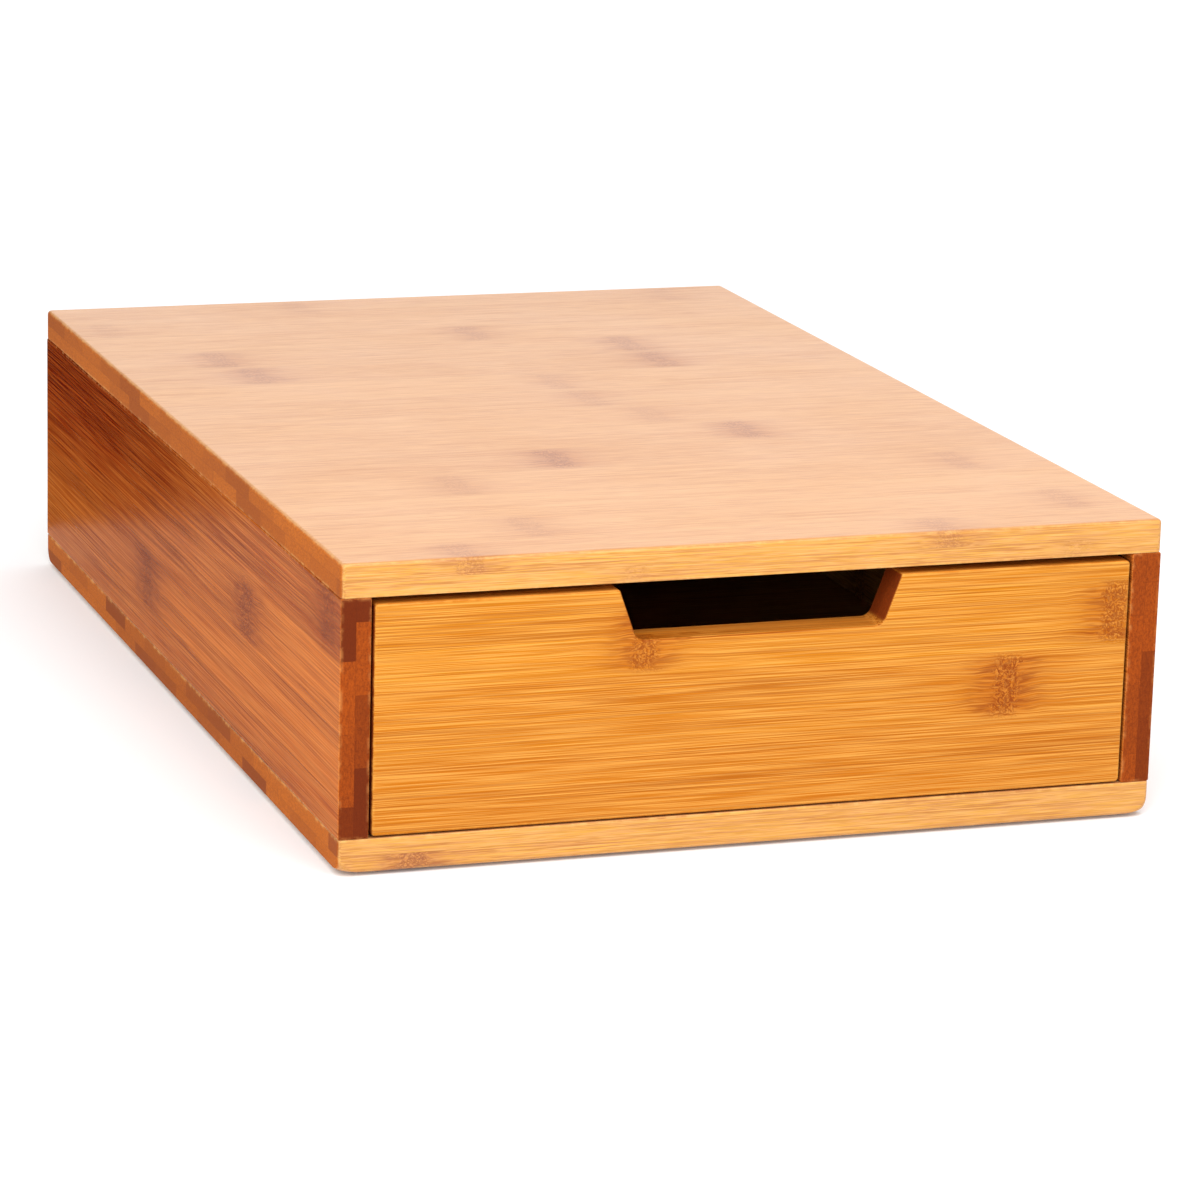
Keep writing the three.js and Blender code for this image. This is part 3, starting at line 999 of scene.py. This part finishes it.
@dataclass
class Screw:
    """A countersunk wood screw with a cross recess."""

    node: str
    body: str
    direction: Vector
    head_depth: float
    shank_radius: float
    steps: int = 32
    gap: float = 0.15 * MM
    clearance: float = 0.5 * MM
    above_head: float = 2 * MM
    lip: float = 0.15 * MM
    pitch: float = 1.3 * MM
    root_share: float = 0.78
    recess_depth: float = 1.1 * MM
    recess_shares: tuple[float, float] = (0.55, 0.13)
    recess_taper: float = 0.45

    def measure(self) -> tuple[Matrix, float, float]:
        """Where the screw lies.

        Returns:
            The matrix from the screw's own frame, its head at the origin and its shank along +Z, to
            the box's frame; the head's radius; and the screw's length.
        """
        low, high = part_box(self.node)
        axis = max(range(3), key=lambda i: abs(self.direction[i]))
        start = (low + high) / 2
        start[axis] = low[axis] if self.direction[axis] > 0 else high[axis]
        radius = (high[axis - 1] - low[axis - 1]) / 2
        turn = self.direction.to_track_quat("Z", "Y").to_matrix().to_4x4()
        return Matrix.Translation(start) @ turn, radius, high[axis] - low[axis]

    def cutter(self) -> bmesh.types.BMesh:
        """The countersunk hole that the screw needs."""
        placed, radius, length = self.measure()
        shank = self.shank_radius + self.gap
        wide = radius + self.gap
        end = length + self.clearance
        profile = [(0, -self.above_head), (wide, -self.above_head), (wide, 0), (shank, self.head_depth)]
        shape = turned([*profile, (shank, end), (0, end)], self.steps)
        bmesh.ops.transform(shape, matrix=placed, verts=shape.verts)
        return shape

    def thread(self, length: float) -> list[tuple[float, float]]:
        """The outline of the shank, with a ridge at each turn of the thread, down to the point."""
        root = self.shank_radius * self.root_share
        outline = [(root, self.head_depth + self.pitch)]
        height = self.head_depth + 1.5 * self.pitch
        while height < length - 2 * self.pitch:
            taper = min(1.0, (length - height) / (3 * self.pitch))
            outline.append((self.shank_radius * taper, height))
            outline.append((root * taper, height + self.pitch / 2))
            height += self.pitch
        return outline

    def build(self, finish: SteelFinish) -> bpy.types.Object:
        """Makes the screw.

        Args:
            finish: what it is plated with.

        Returns:
            The screw.
        """
        placed, radius, length = self.measure()
        profile = [(0, 0), (radius - self.lip, 0), (radius, self.lip), (self.shank_radius, self.head_depth)]
        shape = turned([*profile, *self.thread(length), (0, length)], self.steps)
        piece = to_object(f"{self.node}_turned", shape, TURNED_SHARP_FROM)
        slots = []
        for wide, deep in (self.recess_shares, reversed(self.recess_shares)):
            reach = Vector((radius * wide, radius * deep, self.recess_depth))
            slot = block(Vector((-reach.x, -reach.y, -MM)), reach)
            for corner in slot.verts:
                if corner.co.z > 0:
                    corner.co.x *= self.recess_taper
                    corner.co.y *= self.recess_taper
            slots.append(slot)
        carve(piece, slots)
        piece.data.transform(placed)
        finish.dress(piece)
        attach(piece, self.body)
        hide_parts(self.node)
        return piece


@dataclass
class Dowel:
    """A hidden beech dowel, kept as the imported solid."""

    node: str
    gap: float = 0.15 * MM
    end_gap: float = 0.5 * MM
    steps: int = 24

    def axis(self) -> int:
        """The axis that the dowel lies along."""
        low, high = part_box(self.node)
        return max(range(3), key=lambda i: high[i] - low[i])

    def cutter(self) -> bmesh.types.BMesh:
        """The hole that the dowel needs."""
        low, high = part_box(self.node)
        axis = self.axis()
        half = (high[axis] - low[axis]) / 2 + self.end_gap
        radius = (high[axis - 1] - low[axis - 1]) / 2 + self.gap
        way = Vector([1.0 if i == axis else 0.0 for i in range(3)])
        shape = turned([(0, -half), (radius, -half), (radius, half), (0, half)], self.steps)
        turn = way.to_track_quat("Z", "Y").to_matrix().to_4x4()
        bmesh.ops.transform(shape, matrix=Matrix.Translation((low + high) / 2) @ turn, verts=shape.verts)
        return shape

    def build(self, finish: BeechFinish) -> bpy.types.Object:
        """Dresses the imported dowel."""
        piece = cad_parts[self.node]
        finish.dress(piece, self.axis())
        return piece


@dataclass
class Board:
    """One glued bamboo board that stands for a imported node."""

    node: str
    body: str
    finish: BambooFinish
    lay_up: LayUp
    arrises: Arrises = Arrises()
    fixings: tuple[Screw | Dowel, ...] = ()

    def blank(self) -> bmesh.types.BMesh:
        """The board before it is drilled and grooved."""
        low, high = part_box(self.node)
        thin = self.lay_up.lie.value[2]
        return plank(low, high, thin, self.lay_up.show_side, self.arrises)

    def grooves(self) -> list[bmesh.types.BMesh]:
        """The slots cut in the board; a plain board has none."""
        return []

    def build(self, shelf: EffectShelf) -> bpy.types.Object:
        """Makes and dresses the board.

        Args:
            shelf: the shared effects.

        Returns:
            The board.
        """
        piece = to_object(f"{self.node}_board", self.blank())
        carve(piece, [*self.grooves(), *(fixing.cutter() for fixing in self.fixings)])
        piece.data.shade_smooth()
        piece.data.set_sharp_from_angle(angle=math.radians(SHARP_FROM))
        weighted = piece.modifiers.new("even_shading", "WEIGHTED_NORMAL")
        weighted.keep_sharp = True
        self.finish.dress(piece, self.lay_up, shelf)
        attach(piece, self.body)
        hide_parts(self.node)
        return piece


@dataclass
class GroovedBoard(Board):
    """A drawer board with a slot that the thin bottom is slid into."""

    slack: float = 0.25 * MM
    past_rear: float = 6 * MM

    def grooves(self) -> list[bmesh.types.BMesh]:
        """The one slot, a little larger than the drawer bottom and open at the rear."""
        low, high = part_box("drawer_bottom")
        room = Vector((self.slack, self.slack + self.past_rear, self.slack))
        return [block(low - Vector((self.slack, self.slack, 0)), high + room)]


@dataclass
class DrawerFront(GroovedBoard):
    """The drawer front, with a finger pull cut in its top edge."""

    notch_depth: float = 15 * MM
    notch_top_half: float = 43 * MM
    notch_bottom_half: float = 37.5 * MM
    fillet: float = 3.5 * MM
    lip: float = 0.9 * MM
    corner: float = 1.3 * MM
    arc_steps: int = 8

    def outline(self) -> list[Vector]:
        """The front's outline in X and Z, anticlockwise seen from the front, with the notch in it."""
        low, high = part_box(self.node)
        floor = high.z - self.notch_depth
        corners = [
            (low.x, low.z, self.corner),
            (high.x, low.z, self.corner),
            (high.x, high.z, self.corner),
            (self.notch_top_half, high.z, self.lip),
            (self.notch_bottom_half, floor, self.fillet),
            (-self.notch_bottom_half, floor, self.fillet),
            (-self.notch_top_half, high.z, self.lip),
            (low.x, high.z, self.corner),
        ]
        spots = [Vector((x, 0, z)) for x, z, _ in corners]
        points = []
        for number, here in enumerate(spots):
            before = (spots[number - 1] - here).normalized()
            after = (spots[(number + 1) % len(spots)] - here).normalized()
            points += rounded_corner(here, before, after, corners[number][2], self.arc_steps)
        return points

    def blank(self) -> bmesh.types.BMesh:
        """The front with its notch and its sanded arrises."""
        low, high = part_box(self.node)
        shape = bmesh.new()
        ring = [shape.verts.new((point.x, low.y, point.z)) for point in self.outline()]
        face = shape.faces.new(ring)
        pushed = bmesh.ops.extrude_face_region(shape, geom=[face])
        moved = [item for item in pushed["geom"] if isinstance(item, bmesh.types.BMVert)]
        bmesh.ops.translate(shape, vec=Vector((0, high.y - low.y, 0)), verts=moved)
        bmesh.ops.recalc_face_normals(shape, faces=shape.faces)
        for level, radius in ((high.y, self.arrises.other), (low.y, self.arrises.show)):
            rim = [edge for edge in shape.edges if all(abs(v.co.y - level) < SAME_LEVEL for v in edge.verts)]
            bmesh.ops.bevel(
                shape, geom=rim, offset=radius, offset_type="OFFSET", segments=self.arrises.steps,
                profile=0.5, affect="EDGES",
            )
        return shape


def rounded_corner(here: Vector, before: Vector, after: Vector, radius: float, steps: int) -> list[Vector]:
    """The points of an arc that rounds one corner of an outline.

    Args:
        here: the corner.
        before: the way back along the side that comes in.
        after: the way on along the side that goes out.
        radius: the radius of the arc.
        steps: how many sides the arc has.

    Returns:
        The points in order.
    """
    half = before.angle(after) / 2
    reach = radius / math.tan(half)
    centre = here + (before + after).normalized() * (radius / math.sin(half))
    start = here + before * reach - centre
    end = here + after * reach - centre
    spokes = (start.slerp(end, step / steps).normalized() * radius for step in range(steps + 1))
    return [centre + spoke for spoke in spokes]


@dataclass
class Pad:
    """A thin round stick-on pad with a soft rim."""

    node: str
    body: str = "case"
    rim: float = 0.3 * MM
    rim_steps: int = 4
    steps: int = 48

    def build(self, finish: RubberFinish) -> bpy.types.Object:
        """Makes and dresses the pad.

        Args:
            finish: the rubber.

        Returns:
            The pad.
        """
        low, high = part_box(self.node)
        radius = (high.x - low.x) / 2
        profile = [(0, low.z)]
        for step in range(self.rim_steps + 1):
            turn = math.pi / 2 * step / self.rim_steps
            height = low.z + self.rim * (1 - math.cos(turn))
            profile.append((radius - self.rim + self.rim * math.sin(turn), height))
        profile += [(radius, high.z), (0, high.z)]
        shape = turned(profile, self.steps)
        middle = (low + high) / 2
        bmesh.ops.translate(shape, vec=Vector((middle.x, middle.y, 0)), verts=shape.verts)
        piece = to_object(f"{self.node}_disc", shape, TURNED_SHARP_FROM)
        finish.dress(piece)
        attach(piece, self.body)
        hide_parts(self.node)
        return piece


# Finishes of this box

PANEL_BAMBOO = BambooFinish(
    name="panel_bamboo",
    slot="bamboo_panels",
    pale=paint(199, 145, 90),
    dark=paint(182, 125, 74),
    shine=paint(218, 162, 104),
    edge=paint(208, 151, 50),
    streak=paint(176, 106, 56),
    line=paint(160, 92, 42),
    knot=paint(162, 88, 54),
    knot_fleck=paint(122, 60, 34),
    end_ground=paint(193, 102, 10),
    end_bundle=paint(136, 60, 6),
    glue=paint(110, 52, 16),
    worn=paint(232, 184, 110),
    figure=0.36,
    lines=0.4,
    roughness=0.38,
    gloss=0.3,
    coat=0.12,
)

SIDE_BAMBOO = BambooFinish(
    name="side_bamboo",
    slot="bamboo_sides",
    pale=paint(216, 117, 36),
    dark=paint(166, 73, 18),
    shine=paint(222, 136, 60),
    edge=paint(186, 96, 32),
    streak=paint(140, 60, 16),
    line=paint(112, 40, 8),
    knot=paint(134, 56, 34),
    knot_fleck=paint(98, 34, 20),
    end_ground=paint(158, 70, 14),
    end_bundle=paint(92, 32, 8),
    glue=paint(80, 28, 8),
    worn=paint(206, 138, 76),
    # Painted shade towards the rear and the top of each side panel.
    painted_shade=paint(168, 84, 36),
    painted_shade_depth=1.0,
    figure=0.5,
    lines=0.68,
    roughness=0.21,
    gloss=0.08,
    coat=0.03,
    coat_roughness=0.15,
    stretch=4.0,
    knot_span=1.6,
)

FRONT_BAMBOO = BambooFinish(
    name="front_bamboo",
    slot="bamboo_drawer_front",
    pale=paint(192, 119, 17),
    dark=paint(178, 99, 10),
    shine=paint(226, 168, 82),
    edge=paint(196, 110, 22),
    streak=paint(180, 98, 12),
    line=paint(144, 70, 4),
    knot=paint(166, 80, 4),
    knot_fleck=paint(124, 50, 2),
    end_ground=paint(130, 54, 10),
    end_bundle=paint(92, 34, 6),
    glue=paint(126, 62, 12),
    worn=paint(222, 158, 66),
    figure=0.36,
    lines=0.6,
    gloss=0.08,
    coat=0.05,
    stretch=3.2,
)

BOX_BAMBOO = BambooFinish(
    name="box_bamboo",
    slot="bamboo_drawer_box",
    pale=paint(206, 152, 82),
    dark=paint(188, 128, 60),
    shine=paint(220, 172, 108),
    edge=paint(206, 152, 82),
    streak=paint(174, 112, 48),
    line=paint(150, 88, 34),
    knot=paint(150, 86, 38),
    knot_fleck=paint(112, 58, 24),
    end_ground=paint(178, 114, 58),
    end_bundle=paint(128, 72, 32),
    glue=paint(120, 66, 28),
    worn=paint(222, 178, 116),
    roughness=0.5,
    gloss=0.35,
    coat=0.05,
)


@dataclass
class Case:
    """The five glued boards that the drawer runs in, with their dowels, screws and pads."""

    panel_arrises: Arrises = Arrises(corner=1.7 * MM, show=1.4 * MM, other=0.4 * MM, steps=6)
    base_arrises: Arrises = Arrises(
        corner=1.3 * MM, show=1.4 * MM, other=0.4 * MM, steps=7, sweep=8 * MM, sweep_height=4 * MM
    )
    side_arrises: Arrises = Arrises(corner=0.7 * MM, show=0.5 * MM, other=0.6 * MM)
    screw_head_depth: float = 2 * MM
    screw_radius: float = 1.5 * MM

    def screws(self, side: str) -> tuple[Screw, ...]:
        """The screws that come up into one side panel."""
        depth, radius = self.screw_head_depth, self.screw_radius
        return tuple(Screw(f"{side}_case_screw_{n}", "case", UP, depth, radius) for n in (1, 2, 3))

    def dowels(self, side: str, place: str, count: int) -> tuple[Dowel, ...]:
        """The dowels of one side that reach into the top or the back panel."""
        return tuple(Dowel(f"{side}_{place}_dowel_{n + 1}") for n in range(count))

    def top(self) -> Board:
        """The top panel, whose laths run from side to side."""
        laths = (
            Lath(0.75, (-88, 57), 0.35),
            Lath(0.85, (-60, 107), 0.25),
            Lath(0.95),
            Lath(0.7, (-65, 96), 0.25),
            Lath(0.45, (-25,), 0.6),
            Lath(0.6, (46,), 0.5),
            Lath(0.7, (25,), 0.2),
            Lath(0.65, (13,), 0.25),
            Lath(0.8, (11,), 0.25),
            Lath(0.45, (-82, 57), 0.5),
            Lath(0.6, (-88, 55), 0.45),
            Lath(0.75, (8,), 0.35),
            Lath(0.65, (-113,), 0.15),
            Lath(0.5, (-38, 98), 0.15),
        )
        return Board(
            "top_panel", "case", PANEL_BAMBOO,
            LayUp(Lie.FLAT_ACROSS, show_side=1, lath_width=27.5, first_joint=-197.5, ply=5.0, laths=laths),
            self.panel_arrises, (*self.dowels("left", "top", 3), *self.dowels("right", "top", 3)),
        )

    def base(self) -> Board:
        """The bottom panel."""
        laths = (Lath(0.8, (-103,)), *random_laths(13, seed=5, reach=120))
        return Board(
            "bottom_panel", "case", PANEL_BAMBOO,
            LayUp(Lie.FLAT_ACROSS, show_side=-1, lath_width=27.5, first_joint=-192.5, ply=5.0, laths=laths),
            self.base_arrises, (*self.screws("left"), *self.screws("right")),
        )

    def side(self, side: str, lay_up: LayUp) -> Board:
        """One side panel, whose laths run from front to back.

        Args:
            side: left or right.
            lay_up: its laths.

        Returns:
            The board.
        """
        fixings = (*self.dowels(side, "top", 3), *self.dowels(side, "back", 2), *self.screws(side))
        return Board(f"{side}_side_panel", "case", SIDE_BAMBOO, lay_up, self.side_arrises, fixings)

    def back(self) -> Board:
        """The back panel, between the side panels."""
        laths = random_laths(4, seed=11, reach=110)
        return Board(
            "back_panel", "case", PANEL_BAMBOO,
            LayUp(Lie.UPRIGHT_ACROSS, show_side=1, lath_width=20.5, first_joint=4.0, ply=4.0, laths=laths),
            Arrises(corner=0.6 * MM, show=0.5 * MM, other=0.5 * MM),
            (*self.dowels("left", "back", 2), *self.dowels("right", "back", 2)),
        )

    def build(self, shelf: EffectShelf) -> None:
        """Makes every piece of the case."""
        left = LayUp(
            Lie.UPRIGHT_DEEP, show_side=-1, lath_width=21.2, first_joint=-0.6, ply=4.5,
            laths=(Lath(0.3), Lath(0.7, (38,), 0.6), Lath(0.85, (-85,), 0.65), Lath(0.2, (-175,), 0.6)),
            backing=(Lath(0.2), Lath(0.2), Lath(0.5, (70,)), Lath(0.8, (-20,)), Lath(0.2)),
        )
        right = LayUp(
            Lie.UPRIGHT_DEEP, show_side=1, lath_width=21.2, first_joint=-12.6, ply=4.5,
            laths=(Lath(0.4), Lath(0.4, (60,)), Lath(0.45, (-40,)), Lath(0.8, (120,)), Lath(0.7, (-110,))),
            backing=(Lath(0.7), Lath(0.75), Lath(0.65, (20,)), Lath(0.8, (-90,)), Lath(0.7)),
        )
        sides = (self.side("left", left), self.side("right", right))
        for board in (self.top(), self.base(), *sides, self.back()):
            log.info("case board %s", board.build(shelf).name)
        for side in ("left", "right"):
            for screw in self.screws(side):
                log.info("case screw %s", screw.build(SteelFinish()).name)
            for dowel in (*self.dowels(side, "top", 3), *self.dowels(side, "back", 2)):
                log.info("case dowel %s", dowel.build(BeechFinish()).name)
            for end in ("front", "rear"):
                log.info("pad %s", Pad(f"foot_pad_{end}_{side}").build(RubberFinish()).name)


@dataclass
class Drawer:
    """The sliding drawer: its front with the finger pull, a plain box behind it, and its fixings."""

    front_arrises: Arrises = Arrises(corner=1.3 * MM, show=0.8 * MM, other=0.5 * MM, steps=5)
    box_arrises: Arrises = Arrises(corner=1.0 * MM, show=0.8 * MM, other=0.8 * MM)
    screw_head_depth: float = 1.75 * MM
    screw_radius: float = 1.4 * MM
    bottom_screw_head_depth: float = 1.5 * MM
    bottom_screw_radius: float = 1.25 * MM

    def dowels(self, side: str) -> tuple[Dowel, ...]:
        """The dowels between the front and one side."""
        return tuple(Dowel(f"drawer_{side}_dowel_{n}") for n in (1, 2))

    def screws(self, side: str, sign: int) -> tuple[Screw, ...]:
        """The screws through one side into the back."""
        inward = Vector((-sign, 0, 0))
        depth, radius = self.screw_head_depth, self.screw_radius
        return tuple(Screw(f"drawer_{side}_screw_{n}", "drawer", inward, depth, radius) for n in (1, 2))

    def bottom_screws(self) -> tuple[Screw, ...]:
        """The screws up through the bottom into the back."""
        depth, radius = self.bottom_screw_head_depth, self.bottom_screw_radius
        return tuple(Screw(f"drawer_bottom_screw_{n}", "drawer", UP, depth, radius) for n in (1, 2, 3))

    def front(self) -> Board:
        """The drawer front."""
        laths = (
            Lath(0.6, (62,), 0.5),
            Lath(0.25),
            Lath(0.45, (77,), 1.0),
            Lath(0.85, (-35, 111), 0.85),
            Lath(0.65),
        )
        return DrawerFront(
            "drawer_front", "drawer", FRONT_BAMBOO,
            LayUp(Lie.UPRIGHT_ACROSS, show_side=-1, lath_width=20.5, first_joint=-7.8, ply=6.0, laths=laths),
            self.front_arrises, (*self.dowels("left"), *self.dowels("right")),
        )

    def side(self, side: str, sign: int, seed: int) -> Board:
        """One side of the drawer.

        Args:
            side: left or right.
            sign: -1 for left, 1 for right.
            seed: for its laths.

        Returns:
            The board.
        """
        laths = random_laths(4, seed, reach=160)
        return GroovedBoard(
            f"drawer_{side}_side", "drawer", BOX_BAMBOO,
            LayUp(Lie.UPRIGHT_DEEP, sign, lath_width=20.0, first_joint=3.0, ply=4.0, laths=laths),
            self.box_arrises, (*self.dowels(side), *self.screws(side, sign)),
        )

    def back(self) -> Board:
        """The back of the drawer."""
        laths = random_laths(4, seed=23, reach=100)
        return Board(
            "drawer_back", "drawer", BOX_BAMBOO,
            LayUp(Lie.UPRIGHT_ACROSS, show_side=1, lath_width=20.0, first_joint=9.0, ply=4.0, laths=laths),
            self.box_arrises, (*self.screws("left", -1), *self.screws("right", 1), *self.bottom_screws()),
        )

    def bottom(self) -> Board:
        """The thin bottom of the drawer, one ply thick."""
        lay_up = LayUp(
            Lie.FLAT_ACROSS, show_side=1, lath_width=21.0, first_joint=-190.0, ply=50.0,
            laths=random_laths(19, seed=31, reach=110), backing=(Lath(0.5),),
        )
        arrises = Arrises(corner=0.5 * MM, show=0.4 * MM, other=0.4 * MM, steps=2)
        return Board("drawer_bottom", "drawer", BOX_BAMBOO, lay_up, arrises, self.bottom_screws())

    def build(self, shelf: EffectShelf) -> None:
        """Makes every piece of the drawer."""
        sides = (self.side("left", -1, 41), self.side("right", 1, 43))
        for board in (self.front(), *sides, self.back(), self.bottom()):
            log.info("drawer board %s", board.build(shelf).name)
        for side, sign in (("left", -1), ("right", 1)):
            for screw in self.screws(side, sign):
                log.info("drawer screw %s", screw.build(SteelFinish()).name)
            for dowel in self.dowels(side):
                log.info("drawer dowel %s", dowel.build(BeechFinish()).name)
        for screw in self.bottom_screws():
            log.info("drawer screw %s", screw.build(SteelFinish()).name)


# Studio


@dataclass
class Softbox:
    """A large soft light that the camera doesn't see."""

    name: str
    place: Place
    aim: Place
    width: float
    height: float
    power: float

    def hang(self) -> bpy.types.Object:
        """Puts the light up."""
        data = bpy.data.lights.new(self.name, "AREA")
        data.shape = "RECTANGLE"
        data.size = self.width
        data.size_y = self.height
        data.energy = self.power
        lamp = bpy.data.objects.new(self.name, data)
        lamp.location = self.place
        lamp.rotation_euler = (Vector(self.aim) - Vector(self.place)).to_track_quat("-Z", "Y").to_euler()
        lamp.visible_camera = False
        bpy.context.scene.collection.objects.link(lamp)
        return lamp


@dataclass
class Card:
    """A grey card, from 0 for black to 1 for white, that is only seen mirrored in the lacquer."""

    name: str
    low: Place
    high: Place
    grey: float

    def stand(self) -> bpy.types.Object:
        """Puts the card up."""
        card = to_object(self.name, block(Vector(self.low), Vector(self.high)))
        shader = open_material(card, "grey")[1]
        shader.inputs["Base Color"].default_value = (self.grey, self.grey, self.grey, 1.0)
        shader.inputs["Roughness"].default_value = 1.0
        shader.inputs["Specular IOR Level"].default_value = 0.0
        card.visible_camera = False
        card.visible_diffuse = False
        card.visible_shadow = False
        return card


CARDS = (
    Card("black_card", low=(-3.0, 0.24, 0.0), high=(-0.1265, 0.245, 1.2), grey=0.002),
    Card("grey_card", low=(-2.0, -0.9, 0.0002), high=(-0.13, 0.24, 0.0004), grey=0.26),
)
SOFTBOXES = (
    Softbox("front_softbox", (-0.68, -0.95, 0.55), (-0.05, -0.19, 0.05), width=0.8, height=0.6, power=4.7),
    Softbox("top_softbox", (0.0, -0.7, 0.9), (0.0, -0.15, 0.09), width=0.7, height=0.4, power=5.4),
    Softbox("rear_softbox", (0.9, 2.4, 0.7), (0.0, 0.0, 0.09), width=2.6, height=1.0, power=4.7),
)


@dataclass
class Studio:
    """The pale floor and sky, the camera, and the cards and lights."""

    camera_place: Place = (-1.927, -4.964, 1.648)
    yaw: float = 19.22
    pitch: float = -14.36
    roll: float = 1.58
    lens: float = 144.2
    sensor: float = 36.0
    floor_size: float = 30.0
    floor_colour: Colour = (0.85, 0.862, 0.868, 1.0)
    floor_glow: float = 0.07
    sky_strength: float = 1.05

    def camera(self) -> bpy.types.Object:
        """Sets the camera up: its place is in widths of the case from its lower front edge's middle.

        Returns:
            The camera.
        """
        low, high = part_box("bottom_panel")
        width = high.x - low.x
        origin = Vector(((low.x + high.x) / 2, low.y, low.z))
        yaw, pitch, roll = (math.radians(angle) for angle in (self.yaw, self.pitch, self.roll))
        ahead = Vector((math.sin(yaw) * math.cos(pitch), math.cos(yaw) * math.cos(pitch), math.sin(pitch)))
        level = Vector((math.cos(yaw), -math.sin(yaw), 0))
        upright = level.cross(ahead)
        right = level * math.cos(roll) + upright * math.sin(roll)
        up = upright * math.cos(roll) - level * math.sin(roll)
        data = bpy.data.cameras.new("camera")
        data.sensor_width = self.sensor
        data.lens = self.lens
        camera = bpy.data.objects.new("camera", data)
        turn = Matrix((right, up, -ahead)).transposed().to_4x4()
        camera.matrix_world = Matrix.Translation(origin + Vector(self.camera_place) * width) @ turn
        bpy.context.scene.collection.objects.link(camera)
        bpy.context.scene.camera = camera
        return camera

    def floor(self) -> bpy.types.Object:
        """Lays the floor.

        Returns:
            The floor.
        """
        shape = bmesh.new()
        bmesh.ops.create_grid(shape, x_segments=8, y_segments=8, size=self.floor_size / 2)
        piece = to_object("floor", shape)
        shader = open_material(piece, "pale")[1]
        shader.inputs["Base Color"].default_value = self.floor_colour
        shader.inputs["Roughness"].default_value = 0.9
        shader.inputs["Specular IOR Level"].default_value = 0.1
        shader.inputs["Emission Color"].default_value = WHITE
        shader.inputs["Emission Strength"].default_value = self.floor_glow
        return piece

    def sky(self) -> None:
        """Fills the room with an even pale light."""
        world = bpy.data.worlds.new("studio")
        world.use_nodes = True
        backdrop = world.node_tree.nodes["Background"]
        backdrop.inputs["Color"].default_value = WHITE
        backdrop.inputs["Strength"].default_value = self.sky_strength
        bpy.context.scene.world = world
        bpy.context.scene.view_settings.view_transform = "Standard"

    def build(self) -> None:
        """Sets the whole studio up."""
        self.camera()
        self.floor()
        self.sky()
        for card in CARDS:
            card.stand()
        for softbox in SOFTBOXES:
            softbox.hang()
        log.info("studio ready")


def main() -> None:
    """Builds the studio, then the case, then the drawer."""
    logging.basicConfig(level=logging.INFO, format="%(name)s: %(message)s")
    Studio().build()
    shelf = EffectShelf()
    Case().build(shelf)
    Drawer().build(shelf)


if __name__ == "__main__":
    main()
